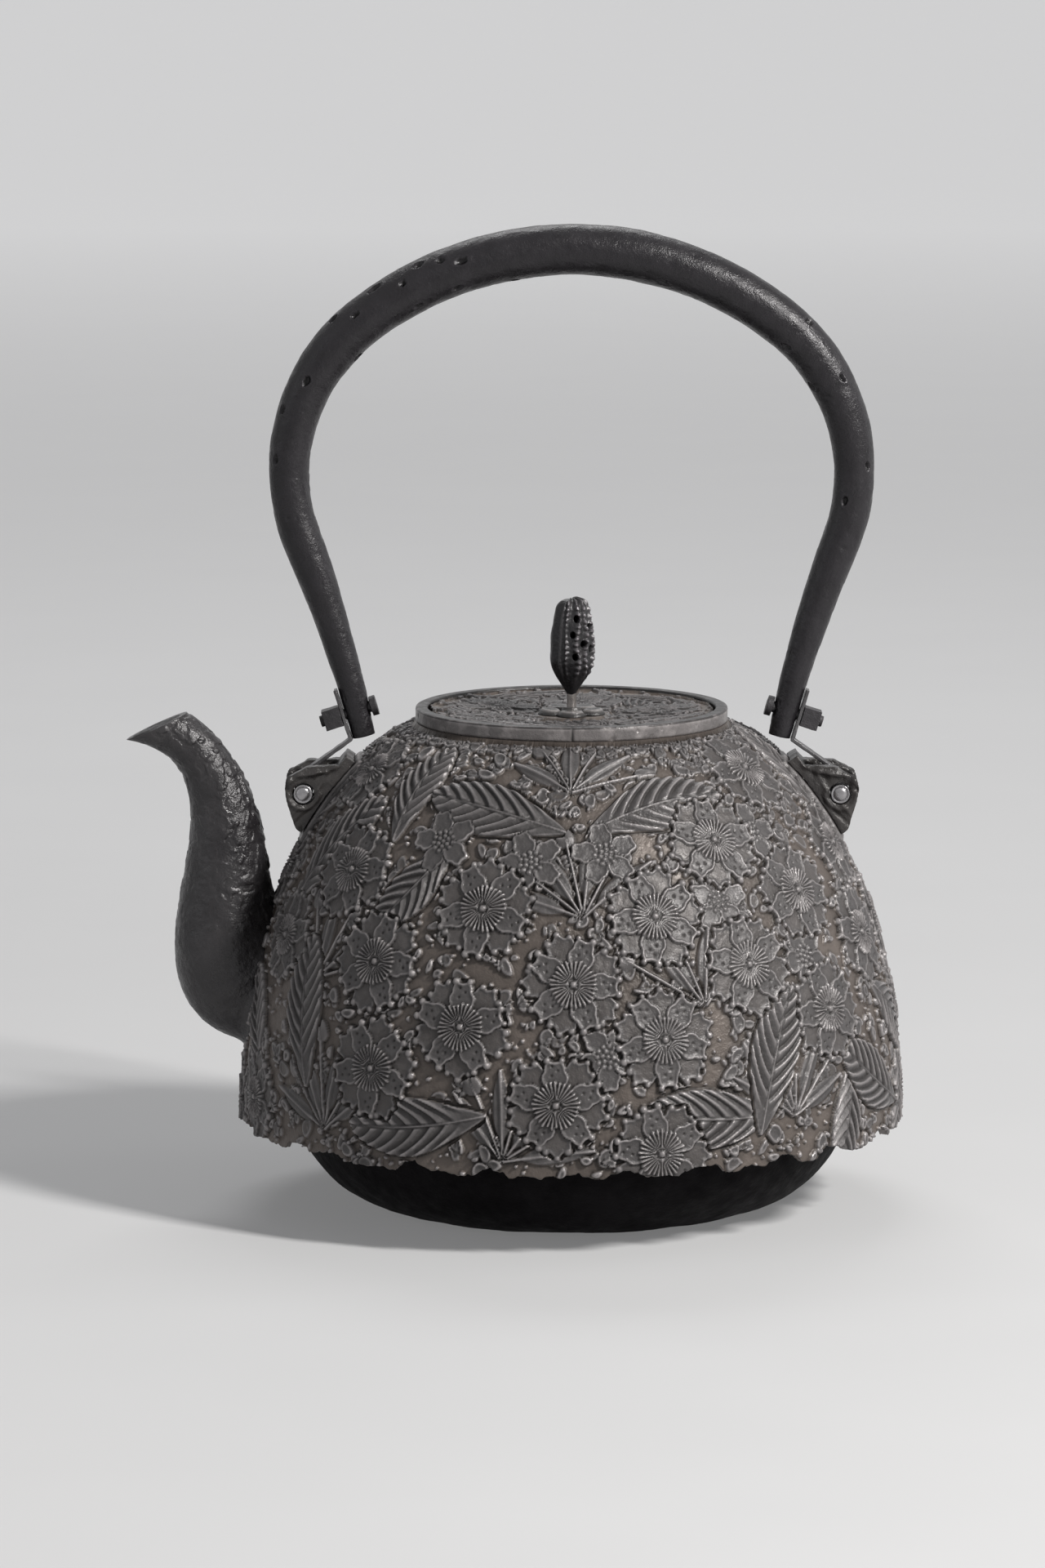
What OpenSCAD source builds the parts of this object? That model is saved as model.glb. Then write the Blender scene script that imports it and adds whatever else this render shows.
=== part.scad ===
// Cast iron kettle (tetsubin) with a torn skirt, a dished lid, a bud knob and an
// arched hollow bail carried by two cross pins. Millimetres, Z up, spout towards -X.

/* [Kettle body] */
// Diameter across the torn skirt
skirt_d = 184.6; // [180:0.2:190]
// Height of the skirt's lowest teeth above the foot
skirt_z = 23; // [20:0.5:26]
// Height of the body's flat top, under the mouth collar
shoulder_z = 133.8; // [130:0.2:138]
// How full the dome stays above the skirt
dome_fullness = 2.27; // [2.1:0.01:2.5]
// How round the dome's shoulder is
shoulder_roundness = 1.43; // [1.3:0.01:1.6]
// Thickness of the cast wall
wall = 3.2; // [2.6:0.1:3.8]
// Number of bites torn from the skirt's edge
bite_count = 26; // [12:1:32]
// Depth of the deepest bite
bite_depth = 2.6; // [2:0.2:6]

/* [Bottom] */
// Widest diameter of the smooth bottom, below the skirt
bowl_d = 154; // [148:1:158]
// Radius that turns the bottom up from its flat foot
bowl_corner = 30; // [26:1:32]
// Thickness of the bottom
bowl_wall = 3; // [2.4:0.1:3.6]
// Height of the bottom's rim, where it seats under the body's ledge
bowl_rim_z = 46.5; // [42:0.5:50]
// Height of the bottom's straight rim
bowl_lip = 3; // [2:0.5:4]
// Width of the rim and of the ledge above it
ledge_w = 5; // [4:0.2:6]
// Thickness of the body's ledge
ledge_t = 3; // [2:0.2:4]

/* [Mouth collar] */
// Outside diameter of the collar
collar_d = 86.2; // [84:0.2:90]
// Height of the collar
collar_h = 4; // [3.6:0.1:5]
// Thickness of the collar beside the lid
collar_wall = 3.5; // [2.6:0.1:4]
// Step of body metal left outside the collar
collar_step = 0.9; // [0.4:0.1:2]
// Diameter of the mouth
mouth_d = 72; // [66:0.5:73]

/* [Lid] */
// Thickness of the lid at its edge
lid_edge_t = 2.4; // [1.8:0.1:2.8]
// Thickness of the lid's dish
lid_t = 2.2; // [1.6:0.1:2.6]
// How far the lid dips at its centre
lid_dish = 2.3; // [0.5:0.1:3]
// Depth of the locating flange below the collar's ledge
flange_depth = 6; // [4:0.5:8]
// Thickness of the locating flange
flange_t = 2; // [1.5:0.1:3]

/* [Knob] */
// Height of the bud-shaped knob
knob_h = 29; // [24:0.5:34]
// Widest diameter of the knob
knob_d = 13.2; // [11:0.2:15]
// Diameter of the pierced holes in the knob
knob_hole_d = 2; // [1:0.1:2.4]
// Diameter of the knob's pin
knob_pin_d = 2.6; // [2.2:0.1:3.2]
// Bare length of pin between the seat and the knob
knob_neck = 1.8; // [1:0.1:3]
// Diameter of the plum-blossom seat across its petals
seat_d = 19; // [16:0.5:22]
// Thickness of the seat
seat_t = 1; // [0.7:0.1:1.6]
// Diameter of the washer under the lid
washer_d = 9; // [7:0.5:12]
// Thickness of that washer
washer_t = 1; // [0.7:0.1:1.6]

/* [Spout] */
// Height of the spout's root centre
spout_root_z = 56; // [52:1:60]
// How far the outlet stands out from the root
spout_reach = 31.4; // [28:0.2:36]
// How far the outlet stands above the root
spout_rise = 76.2; // [70:0.2:82]
// Pull of the belly curve outwards
spout_belly = 30; // [26:1:34]
// Pull of the neck curve back towards the body
spout_tuck = 7; // [3:1:9]
// Control radius at the root
spout_root_r = 10; // [8:0.5:12]
// Control radius of the belly
spout_belly_r = 22.5; // [19:0.5:24]
// Control radius of the neck
spout_neck_r = 6; // [5:0.5:8]
// Radius at the outlet
spout_outlet_r = 6.8; // [6:0.1:8]
// Slant of the cut outlet from square
outlet_slant = 45; // [20:1:50]
// Thickness of the spout's wall
spout_wall = 2.6; // [2:0.1:3]
// Thickness of that wall at the outlet
outlet_wall = 1.6; // [1:0.1:2]
// Depth of the spout's root inside the dome
spout_sunk = 7.3; // [6:0.1:9]
// Drop of the belly's control point below the root
spout_sag = 2; // [0:0.5:4]
// Drop of the neck's control point below the outlet
spout_bow = 14; // [10:0.5:18]
// Height of the port's centre above the root's
port_lift = 2; // [0:0.5:4]
// Diameter of the port through the body behind the spout
port_d = 15; // [10:0.5:16]

/* [Lugs and cross pins] */
// How far the lugs stand below the top of the dome
lug_drop = 22.3; // [20:0.1:27]
// Reach of a lug's foot down the dome from its pin
lug_low = 10; // [9.6:0.1:12]
// Reach of a lug's foot up the dome from its pin
lug_high = 14; // [13:0.1:16]
// Width of the foot's upper bar, along the dome
bar_high = 7.5; // [6.5:0.1:8]
// Width of the foot's lower bar, along the dome
bar_low = 3.5; // [3:0.1:4]
// How far the upper bar reaches past the cheeks
bar_toe = 1.5; // [1:0.1:2]
// Diameter of each cross pin
pin_d = 5.2; // [4.6:0.1:6]
// Loose fit of a pin in its lug, on the radius
pin_play = 0.3; // [0.1:0.05:0.4]
// Thickness of each cheek of a lug
cheek_t = 3.8; // [3:0.1:5]
// How far the cheek's nose stands beyond the pin's centre
nose_reach = 5.9; // [5.4:0.1:7]
// How far the pins stand out of the cheeks
pin_proud = 0.6; // [0.2:0.1:1.2]
// Height of the lug's foot flange above the dome
foot_flange_t = 1.6; // [1:0.1:1.8]

/* [Bail] */
// Height of the crown's centre line above the pins
bail_rise = 149; // [140:1:156]
// Height of the widest point above the pins
bail_wide_rise = 88; // [84:1:92]
// Width between tube centres at the widest point
bail_w = 154.8; // [150:0.4:160]
// Radius of the bail's shoulders
bail_shoulder_r = 52; // [46:1:54]
// Lean of the legs where the shoulders end
leg_lean = 21; // [18:1:24]
// Distance of the leg ends inside the pins
leg_inset = 16.6; // [16:0.2:18]
// Height of the leg ends above the pins
leg_rise = 15; // [14.6:0.2:17]
// Tube diameter at the crown
crown_d = 14.5; // [13:0.1:16]
// Tube diameter at the sides
side_d = 11.3; // [10:0.1:12.5]
// Diameter at the leg ends
leg_end_d = 6.4; // [6:0.1:7.2]
// Thickness of the tube's wall
tube_wall = 1.2; // [0.8:0.1:1.8]
// How far the bail rocks each way on its pins
rock_angle = 12; // [8:1:13]

/* [Straps, bolts and nuts] */
// Width of the straps
strap_w = 5; // [4:0.2:6]
// Thickness of the straps
strap_t = 1.1; // [0.8:0.1:1.4]
// Length of a strap along the leg
strap_len = 14.5; // [12:0.5:16]
// Diameter of the bolts
bolt_d = 3.2; // [2.6:0.1:3.6]
// Height of the bolts above the leg ends
bolt_rise = 7; // [5:0.5:8]
// Side of the square nuts
nut_side = 5.6; // [5:0.1:7]
// Thickness of the nuts
nut_t = 5; // [3:0.2:6]
// Diameter of the bolt heads
head_d = 5.6; // [4.8:0.2:6.4]

/* [Hidden] */
$fn = 96;

joint_gap = 0.3;   // between parts that are let into each other
pin_fit = 0.05;    // radial clearance of bolts and of the knob's pin
lid_gap = 0.4;     // radial clearance of the lid in its collar
seat_gap = 0.1;    // the lid's clearance above the collar's ledge
flange_gap = 0.6;  // radial clearance of the lid's flange in the mouth
eye_clear = 1;     // between a strap's eye and the lug's lower bar
lug_sunk = 5;      // how deep the lugs start inside the dome, before it is cut away
steps = 30;        // points along the dome's profile
tube_sides = 20;
spout_sides = 24;

skirt_r = skirt_d / 2;
collar_r = collar_d / 2;
mouth_r = mouth_d / 2;
collar_top = shoulder_z + collar_h;
ledge_z = collar_top - lid_edge_t - seat_gap;
lid_r = collar_r - collar_wall - lid_gap;
pin_r = pin_d / 2;
lug_z = shoulder_z - lug_drop;

// ---- the dome's profile -------------------------------------------------------

function dome_r(z) =
    let (top_r = collar_r + collar_step,
         t = min(1, max(0, (z - skirt_z) / (shoulder_z - skirt_z))))
    top_r + (skirt_r - top_r) * pow(1 - pow(t, dome_fullness), 1 / shoulder_roundness);

// u runs from the skirt at 0 to the mouth at 1, closer together near the mouth.
function dome_point(u) =
    let (z = skirt_z + (shoulder_z - skirt_z) * (1 - pow(1 - u, 1.6))) [dome_r(z), z];

function dome_normal(u) =
    let (d = dome_point(min(1, u + 0.01)) - dome_point(max(0, u - 0.01)))
    [d.y, -d.x] / norm(d);

function normal_at(z) =
    let (d = [dome_r(z + 0.5) - dome_r(z - 0.5), 1]) [d.y, -d.x] / norm(d);

outer_line = [for (i = [0:steps]) dome_point(i / steps)];
inner_line = [for (i = [steps:-1:0]) dome_point(i / steps) - wall * dome_normal(i / steps)];
bowl_rim_r = dome_r(bowl_rim_z) - wall - 2 * joint_gap;

module dome_solid() {
    rotate_extrude()
        polygon(concat([[0, skirt_z]], outer_line, [[0, shoulder_z]]));
}

// A repeatable spread of values from 0 to 1.
function spread(i) = let (s = sin(i * 127.1 + 31.7) * 437.585) s - floor(s);

module skirt_bites() {
    for (i = [0:bite_count - 1]) {
        r = 5 + 7 * spread(i);
        depth = bite_depth * (0.35 + 0.65 * spread(i + 50));
        rotate([0, 0, (i + 0.6 * spread(i + 90)) * 360 / bite_count])
            translate([skirt_r - 3 * wall, 0, skirt_z + depth - r])
                rotate([0, 90, 0])
                    cylinder(h = 6 * wall, r = r, $fn = 48);
    }
}

module body_shell() {
    color([0.42, 0.39, 0.38])
    difference() {
        union() {
            rotate_extrude()
                polygon(concat(
                    outer_line,
                    [[mouth_r, shoulder_z], [mouth_r, inner_line[0].y]],
                    inner_line));
            rotate_extrude()
                translate([bowl_rim_r - ledge_w, bowl_rim_z])
                    square([ledge_w + joint_gap + wall / 2, ledge_t]);
        }
        skirt_bites();
        translate([-skirt_r, 0, spout_root_z + port_lift])
            rotate([0, 90, 0])
                cylinder(h = skirt_r / 3, d = port_d);
    }
}

// ---- the bottom ---------------------------------------------------------------

function corner(r, from, to) =
    [for (i = [0:10]) let (a = from + (to - from) * i / 10)
        [bowl_d / 2 - bowl_corner + r * cos(a), bowl_corner + r * sin(a)]];

module bottom_bowl() {
    color([0.05, 0.045, 0.05])
    rotate_extrude()
        polygon(concat(
            [[0, 0]],
            corner(bowl_corner, -90, 0),
            [[bowl_rim_r, bowl_rim_z - bowl_lip], [bowl_rim_r, bowl_rim_z],
             [bowl_rim_r - ledge_w + joint_gap, bowl_rim_z]],
            corner(bowl_corner - bowl_wall, 0, -90),
            [[0, bowl_wall]]));
}

// ---- sweeps -------------------------------------------------------------------

// A ring of points about centre c, half as long as rn along the unit vector n and
// half as wide as ry along Y.
function ring(c, n, rn, ry, sides) =
    [for (j = [0:sides - 1]) let (a = j * 360 / sides)
        [c.x + rn * cos(a) * n.x, ry * sin(a), c.y + rn * cos(a) * n.y]];

module sweep(rings) {
    sides = len(rings[0]);
    last = len(rings) - 1;
    polyhedron(
        points = [for (r = rings) for (p = r) p],
        faces = concat(
            [for (i = [0:last - 1]) for (j = [0:sides - 1]) let (k = (j + 1) % sides)
                [i * sides + j, i * sides + k, (i + 1) * sides + k]],
            [for (i = [0:last - 1]) for (j = [0:sides - 1]) let (k = (j + 1) % sides)
                [i * sides + j, (i + 1) * sides + k, (i + 1) * sides + j]],
            [[for (j = [sides - 1:-1:0]) j]],
            [[for (j = [0:sides - 1]) last * sides + j]]),
        convexity = 6);
}

// ---- the spout ----------------------------------------------------------------

spout_root = [-(dome_r(spout_root_z) - spout_sunk), spout_root_z];
spout_path = [
    spout_root,
    spout_root + [-spout_belly, -spout_sag],
    spout_root + [spout_tuck, spout_rise - spout_bow],
    spout_root + [-spout_reach, spout_rise]
];
spout_radii = [spout_root_r, spout_belly_r, spout_neck_r, spout_outlet_r];

function bezier(p, t) =
    pow(1 - t, 3) * p[0] + 3 * pow(1 - t, 2) * t * p[1]
    + 3 * (1 - t) * t * t * p[2] + pow(t, 3) * p[3];

function bezier_dir(p, t) =
    let (d = pow(1 - t, 2) * (p[1] - p[0]) + 2 * (1 - t) * t * (p[2] - p[1])
             + t * t * (p[3] - p[2]))
    d / norm(d);

// 0 along most of the spout, rising to 1 at its outlet.
function near_outlet(t) = max(0, (t - 0.7) / 0.3);
function spout_wall_at(t) = spout_wall + (outlet_wall - spout_wall) * near_outlet(t);

// A ring of the spout at t, thinned by inset and moved along the path by ahead.
function spout_ring(t, inset, ahead) =
    let (d = bezier_dir(spout_path, t),
         slant = outlet_slant * pow(near_outlet(t), 2),
         n = [d.x * sin(slant) - d.y * cos(slant), d.x * cos(slant) + d.y * sin(slant)],
         r = bezier(spout_radii, t) - inset)
    ring(bezier(spout_path, t) + ahead * d, n, r / cos(slant), r, spout_sides);

module spout() {
    count = 20;
    outside = [for (i = [0:count]) spout_ring(i / count, 0, 0)];
    inside = concat(
        [spout_ring(0, spout_wall, -2)],
        [for (i = [0:count]) spout_ring(i / count, spout_wall_at(i / count), 0)],
        [spout_ring(1, outlet_wall, 2)]);
    color([0.26, 0.25, 0.25])
    difference() {
        sweep(outside);
        sweep(inside);
        dome_solid();
    }
}

// ---- the mouth collar ---------------------------------------------------------

module mouth_collar() {
    color([0.35, 0.33, 0.33])
    rotate_extrude()
        polygon([
            [mouth_r, shoulder_z], [collar_r, shoulder_z], [collar_r, collar_top],
            [collar_r - collar_wall, collar_top], [collar_r - collar_wall, ledge_z],
            [mouth_r, ledge_z]]);
}

// ---- the lugs, their pins and the straps' eyes ----------------------------------

eye_r = pin_r / cos(rock_angle) + strap_w / 2 * tan(rock_angle) + 0.15;
eye_outer_r = eye_r + strap_t;
pin_stand = eye_outer_r + strap_w / 2 * sin(rock_angle) + joint_gap;
cheek_rise = 10;   // height of the cheeks above the pins, which the slot allows for
slot_w = strap_w + 2 * cheek_rise * tan(rock_angle) + 2 * joint_gap;
lug_w = slot_w + 2 * cheek_t;
lug_foot = [dome_r(lug_z), lug_z];
lug_normal = normal_at(lug_z);
lug_slope = atan2(lug_normal.y, lug_normal.x);
pin_at = lug_foot + pin_stand * lug_normal;

// In this frame X runs down the dome, Z stands out of it and the pin is on X = 0.
module lug_frame() {
    translate([lug_foot.x, 0, lug_foot.y])
        rotate([0, 90 - lug_slope, 0])
            children();
}

function turn_corner(a, b, c, r) =
    let (u = (a - b) / norm(a - b),
         v = (c - b) / norm(c - b),
         half = acos(u * v) / 2,
         m = (u + v) / norm(u + v),
         o = b + m * r / sin(half),
         s = b + u * r / tan(half),
         e = b + v * r / tan(half),
         from = atan2(s.y - o.y, s.x - o.x),
         turn = atan2(e.y - o.y, e.x - o.x) - from,
         short = turn > 180 ? turn - 360 : turn < -180 ? turn + 360 : turn)
    [for (i = [0:4]) o + r * [cos(from + short * i / 4), sin(from + short * i / 4)]];

module cheek() {
    nose = pin_stand + nose_reach;
    outline = [
        [lug_low, -lug_sunk], [0.94 * lug_low, 0.15 * lug_low],
        [0.58 * lug_low, pin_stand + 0.1 * lug_low], [0.18 * lug_low, nose - 0.06 * lug_low],
        [-0.16 * lug_low, nose], [-0.5 * lug_high, pin_stand + 0.34 * lug_low],
        [-0.83 * lug_high, 0.24 * lug_low], [-lug_high, -lug_sunk]
    ];
    radii = lug_low * [0.1, 0.1, 0.3, 0.24, 0.24, 0.2, 0.1, 0.1];
    n = len(outline);
    rotate([90, 0, 0])
        linear_extrude(cheek_t, center = true)
            polygon([for (i = [0:n - 1]) for (p = turn_corner(
                outline[(i + n - 1) % n], outline[i], outline[(i + 1) % n], radii[i])) p]);
}

module lug() {
    difference() {
        lug_frame()
            difference() {
                union() {
                    for (side = [-1, 1])
                        translate([0, side * (slot_w + cheek_t) / 2, 0])
                            cheek();
                    translate([-lug_high - bar_toe, -lug_w / 2, -lug_sunk])
                        cube([bar_high, lug_w, lug_sunk + foot_flange_t]);
                    translate([eye_outer_r + eye_clear, -slot_w / 2 - 1, -lug_sunk])
                        cube([bar_low, slot_w + 2, lug_sunk + foot_flange_t]);
                }
                translate([0, 0, pin_stand])
                    rotate([90, 0, 0])
                        cylinder(h = lug_w + 10, r = pin_r + pin_play, center = true);
            }
        dome_solid();
    }
}

module cross_pin() {
    half = lug_w / 2 + pin_proud;
    dome = 0.7;
    translate([pin_at.x, 0, pin_at.y])
        rotate([90, 0, 0])
            rotate_extrude()
                polygon(concat(
                    [[0, -half]],
                    [for (i = [0:4]) [pin_r * (0.6 + 0.4 * sin(22.5 * i)),
                                      -half + dome * (1 - cos(22.5 * i))]],
                    [for (i = [4:-1:0]) [pin_r * (0.6 + 0.4 * sin(22.5 * i)),
                                         half - dome * (1 - cos(22.5 * i))]],
                    [[0, half]]));
}

// ---- the bail -----------------------------------------------------------------

crown_z = pin_at.y + bail_rise;
wide_z = pin_at.y + bail_wide_rise;
shoulder_x = bail_w / 2 - bail_shoulder_r;
crown_drop = crown_z - wide_z;
crown_r = (pow(shoulder_x, 2) + pow(crown_drop, 2) - pow(bail_shoulder_r, 2))
    / (2 * (crown_drop - bail_shoulder_r));
crown_turn = atan2(shoulder_x, wide_z - crown_z + crown_r);
leg_end = pin_at + [-leg_inset, leg_rise];
leg_start = [shoulder_x + bail_shoulder_r * cos(leg_lean),
             wide_z - bail_shoulder_r * sin(leg_lean)];
leg_chord = leg_end - leg_start;
leg_start_turn = 90 + leg_lean;
leg_end_turn = 2 * atan2(-leg_chord.y, leg_chord.x) - leg_start_turn;
leg_r = norm(leg_chord) / (2 * sin((leg_end_turn - leg_start_turn) / 2));

// Each station is [x, z, turn, tube radius], from the crown down to the right leg's end.
function round_r(turn) =
    crown_d / 2 - (crown_d - side_d) / 2 * pow(min(1, turn / 90), 1.5);
function crown_station(a) =
    [crown_r * sin(a), crown_z - crown_r + crown_r * cos(a), a, round_r(a)];
function shoulder_station(a) =
    [shoulder_x + bail_shoulder_r * sin(a), wide_z + bail_shoulder_r * cos(a), a, round_r(a)];
function leg_station(s) =
    let (a = leg_start_turn + (leg_end_turn - leg_start_turn) * s)
    [leg_start.x + leg_r * (sin(a) - sin(leg_start_turn)),
     leg_start.y + leg_r * (cos(a) - cos(leg_start_turn)), a,
     side_d / 2 + (leg_end_d - side_d) / 2 * pow(s, 1.15)];

leg_steps = 10;
solid_steps = 5;   // the last steps of each leg, which are solid
half_bail = concat(
    [for (i = [0:7]) crown_station(crown_turn * i / 8)],
    [for (i = [0:9]) shoulder_station(crown_turn + (leg_start_turn - crown_turn) * i / 10)],
    [for (i = [0:leg_steps]) leg_station(i / leg_steps)]);

function bail_rings(stations, inset) =
    let (last = len(stations) - 1)
    [for (i = [-last:last])
        let (s = stations[abs(i)], side = i < 0 ? -1 : 1)
        ring([side * s[0], s[1]], [side * sin(s[2]), cos(s[2])],
             s[3] - inset, s[3] - inset, tube_sides)];

// The straps lie on a chord of the leg's outer side.
leg_length = abs(leg_r * (leg_end_turn - leg_start_turn) * PI / 180);
strap_top = leg_station(1 - strap_len / leg_length);
function leg_face(s) = [s[0] + s[3] * sin(s[2]), s[1] + s[3] * cos(s[2])];
strap_low = leg_face(leg_station(1));
strap_high = leg_face(strap_top);
strap_up = (strap_high - strap_low) / norm(strap_high - strap_low);
strap_out = [strap_up.y, -strap_up.x];
strap_bend = strap_low + strap_t / 2 * strap_out;
bolt_at = strap_low + bolt_rise * strap_up;   // on the strap's inner face
bolt_in = 2 * leg_station(1 - bolt_rise / leg_length)[3] + joint_gap;   // through the leg

// From the bend, the strap runs straight to the eye's upper tangent.
to_pin = pin_at - strap_bend;
eye_mid_r = eye_r + strap_t / 2;
link_turn = atan2(to_pin.y, to_pin.x) + asin(eye_mid_r / norm(to_pin));

// Draws its children with Z along the bolt, out of the leg, and the strap at Z = 0.
module bolt_frame() {
    translate([bolt_at.x, 0, bolt_at.y])
        rotate([0, atan2(strap_out.x, strap_out.y), 0])
            children();
}

module bail_tube() {
    color([0.16, 0.15, 0.17])
    difference() {
        sweep(bail_rings(half_bail, 0));
        sweep(bail_rings([for (i = [0:len(half_bail) - 1 - solid_steps]) half_bail[i]], tube_wall));
        for (side = [0, 1])
            mirror([side, 0, 0])
                bolt_frame()
                    translate([0, 0, -2 * bolt_in])
                        cylinder(h = 3 * bolt_in, d = bolt_d + 2 * pin_fit, $fn = 48);
    }
}

// The strap's edge-on outline: down the leg, a mitred bend, along the link's upper
// side, round the eye and back along the lower side.
link_up = [-sin(link_turn), cos(link_turn)];
mitre = (strap_out + link_up) / norm(strap_out + link_up);
mitre_len = strap_t / 2 / (mitre * strap_out);
eye_from = 90 + link_turn;
eye_turn = acos(eye_r / eye_outer_r) - 360;
strap_outline = concat(
    [strap_high, strap_high + strap_t * strap_out, strap_bend + mitre_len * mitre],
    [for (i = [0:32]) let (a = eye_from + eye_turn * i / 32)
        pin_at + eye_outer_r * [cos(a), sin(a)]],
    [strap_bend - mitre_len * mitre]);

module strap() {
    difference() {
        rotate([90, 0, 0])
            linear_extrude(strap_w, center = true)
                polygon(strap_outline);
        translate([pin_at.x, 0, pin_at.y])
            rotate([90, 0, 0])
                cylinder(h = strap_w + 2, r = eye_r, center = true);
        bolt_frame()
            translate([0, 0, -1])
                cylinder(h = strap_t + 2, d = bolt_d + 2 * pin_fit, $fn = 48);
    }
}

module strap_bolt() {
    head_h = 1.8;
    bolt_frame() {
        translate([0, 0, -bolt_in - head_h / 2])
            cylinder(h = bolt_in + head_h / 2 + strap_t + nut_t + 1, d = bolt_d, $fn = 48);
        translate([0, 0, -bolt_in - head_h])
            cylinder(h = head_h, d = head_d, $fn = 48);
    }
}

module strap_nut() {
    bolt_frame()
        translate([0, 0, strap_t])
            difference() {
                translate([-nut_side / 2, -nut_side / 2, 0])
                    cube([nut_side, nut_side, nut_t]);
                translate([0, 0, -1])
                    cylinder(h = nut_t + 2, d = bolt_d + 2 * pin_fit, $fn = 48);
            }
}

// ---- the lid and its knob -------------------------------------------------------

function lid_top(r) = collar_top - lid_dish * (1 - pow(r / lid_r, 2));
seat_z = lid_top(seat_d / 2);
knob_z = seat_z + 2 * seat_t + knob_neck;
pin_low = lid_top(0) - lid_t - washer_t;

module lid_disc() {
    flange_r = mouth_r - flange_gap;
    color([0.4, 0.37, 0.36])
    rotate_extrude()
        polygon(concat(
            [for (i = [0:12]) let (r = knob_pin_d / 2 + pin_fit
                                       + (lid_r - knob_pin_d / 2 - pin_fit) * i / 12) [r, lid_top(r)]],
            [[lid_r, collar_top - lid_edge_t], [flange_r, collar_top - lid_edge_t],
             [flange_r, ledge_z - flange_depth], [flange_r - flange_t, ledge_z - flange_depth]],
            [for (i = [12:-1:0]) let (r = knob_pin_d / 2 + pin_fit
                 + (flange_r - flange_t - knob_pin_d / 2 - pin_fit) * i / 12) [r, lid_top(r) - lid_t]]));
}

module knob_seat() {
    petal_r = 0.21 * seat_d;
    color([0.2, 0.19, 0.19])
    difference() {
        translate([0, 0, seat_z])
            union() {
                for (i = [0:4])
                    rotate([0, 0, 72 * i - 90])
                        translate([seat_d / 2 - petal_r, 0, 0])
                            cylinder(h = seat_t, r = petal_r);
                cylinder(h = seat_t, r = 0.32 * seat_d);
                cylinder(h = 2 * seat_t, r = 0.16 * seat_d);
            }
        translate([0, 0, seat_z - 1])
            cylinder(h = 2 * seat_t + 2, r = knob_pin_d / 2 + pin_fit);
    }
}

// The bud: a narrow foot that swells to its widest at about a third, then a blunt top.
function bud_r(t) =
    let (foot = 0.24, swell = sin(90 * min(1, t / 0.4)))
    t < 0.4 ? foot + (1 - foot) * pow(swell, 1.3)
            : 1 - 0.14 * pow((t - 0.4) / 0.5, 2) - 0.7 * pow(max(0, (t - 0.86) / 0.14), 3);

module knob() {
    bud = [for (i = [0:24]) [knob_d / 2 * bud_r(i / 24), knob_z + knob_h * i / 24]];
    hole_turns = [-52, -84, -32, -66, -20];
    color([0.17, 0.16, 0.17])
    difference() {
        rotate_extrude()
            polygon(concat([[0, knob_z]], bud, [[0, knob_z + knob_h]]));
        translate([0, 0, knob_z - 1])
            cylinder(h = knob_h / 3 + 1, r = knob_pin_d / 2 + pin_fit);
        for (i = [0:len(hole_turns) - 1])
            translate([0, 0, knob_z + knob_h * (0.5 + 0.08 * i)])
                rotate([0, 90, hole_turns[i]])
                    translate([0, 0, knob_d / 5])
                        cylinder(h = knob_d, d = knob_hole_d, $fn = 32);
    }
}

module knob_pin() {
    head = 1.6;
    color([0.72, 0.62, 0.42])
    translate([0, 0, pin_low - head / 2]) {
        cylinder(h = knob_z + knob_h / 3 - joint_gap - pin_low + head / 2, d = knob_pin_d);
        cylinder(h = head / 2, d = 1.7 * knob_pin_d);
    }
}

module knob_washer() {
    color([0.3, 0.29, 0.29])
    translate([0, 0, pin_low])
        difference() {
            cylinder(h = washer_t, d = washer_d);
            translate([0, 0, -1])
                cylinder(h = washer_t + 2, r = knob_pin_d / 2 + pin_fit);
        }
}

// ---- one line for each piece ----------------------------------------------------

body_shell();
bottom_bowl();
spout();
mouth_collar();
color([0.27, 0.25, 0.24]) mirror([1, 0, 0]) lug();  // lug_left
color([0.27, 0.25, 0.24]) lug();  // lug_right
color([0.6, 0.59, 0.6]) mirror([1, 0, 0]) cross_pin();  // cross_pin_left
color([0.6, 0.59, 0.6]) cross_pin();  // cross_pin_right
bail_tube();
color([0.35, 0.34, 0.35]) mirror([1, 0, 0]) strap();  // strap_left
color([0.35, 0.34, 0.35]) strap();  // strap_right
color([0.2, 0.19, 0.2]) mirror([1, 0, 0]) strap_bolt();  // strap_bolt_left
color([0.2, 0.19, 0.2]) strap_bolt();  // strap_bolt_right
color([0.2, 0.19, 0.2]) mirror([1, 0, 0]) strap_nut();  // strap_nut_left
color([0.2, 0.19, 0.2]) strap_nut();  // strap_nut_right
lid_disc();
knob_seat();
knob();
knob_pin();
knob_washer();
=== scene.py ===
"""The finish of a cast iron kettle (tetsubin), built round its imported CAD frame.

The shape functions work in millimetres, and build() turns them into metres. A turn
is an angle about Z, from the front (-Y) towards +X. It is in degrees, except in an
array of turns, which is in radians.
"""
import math

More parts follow.
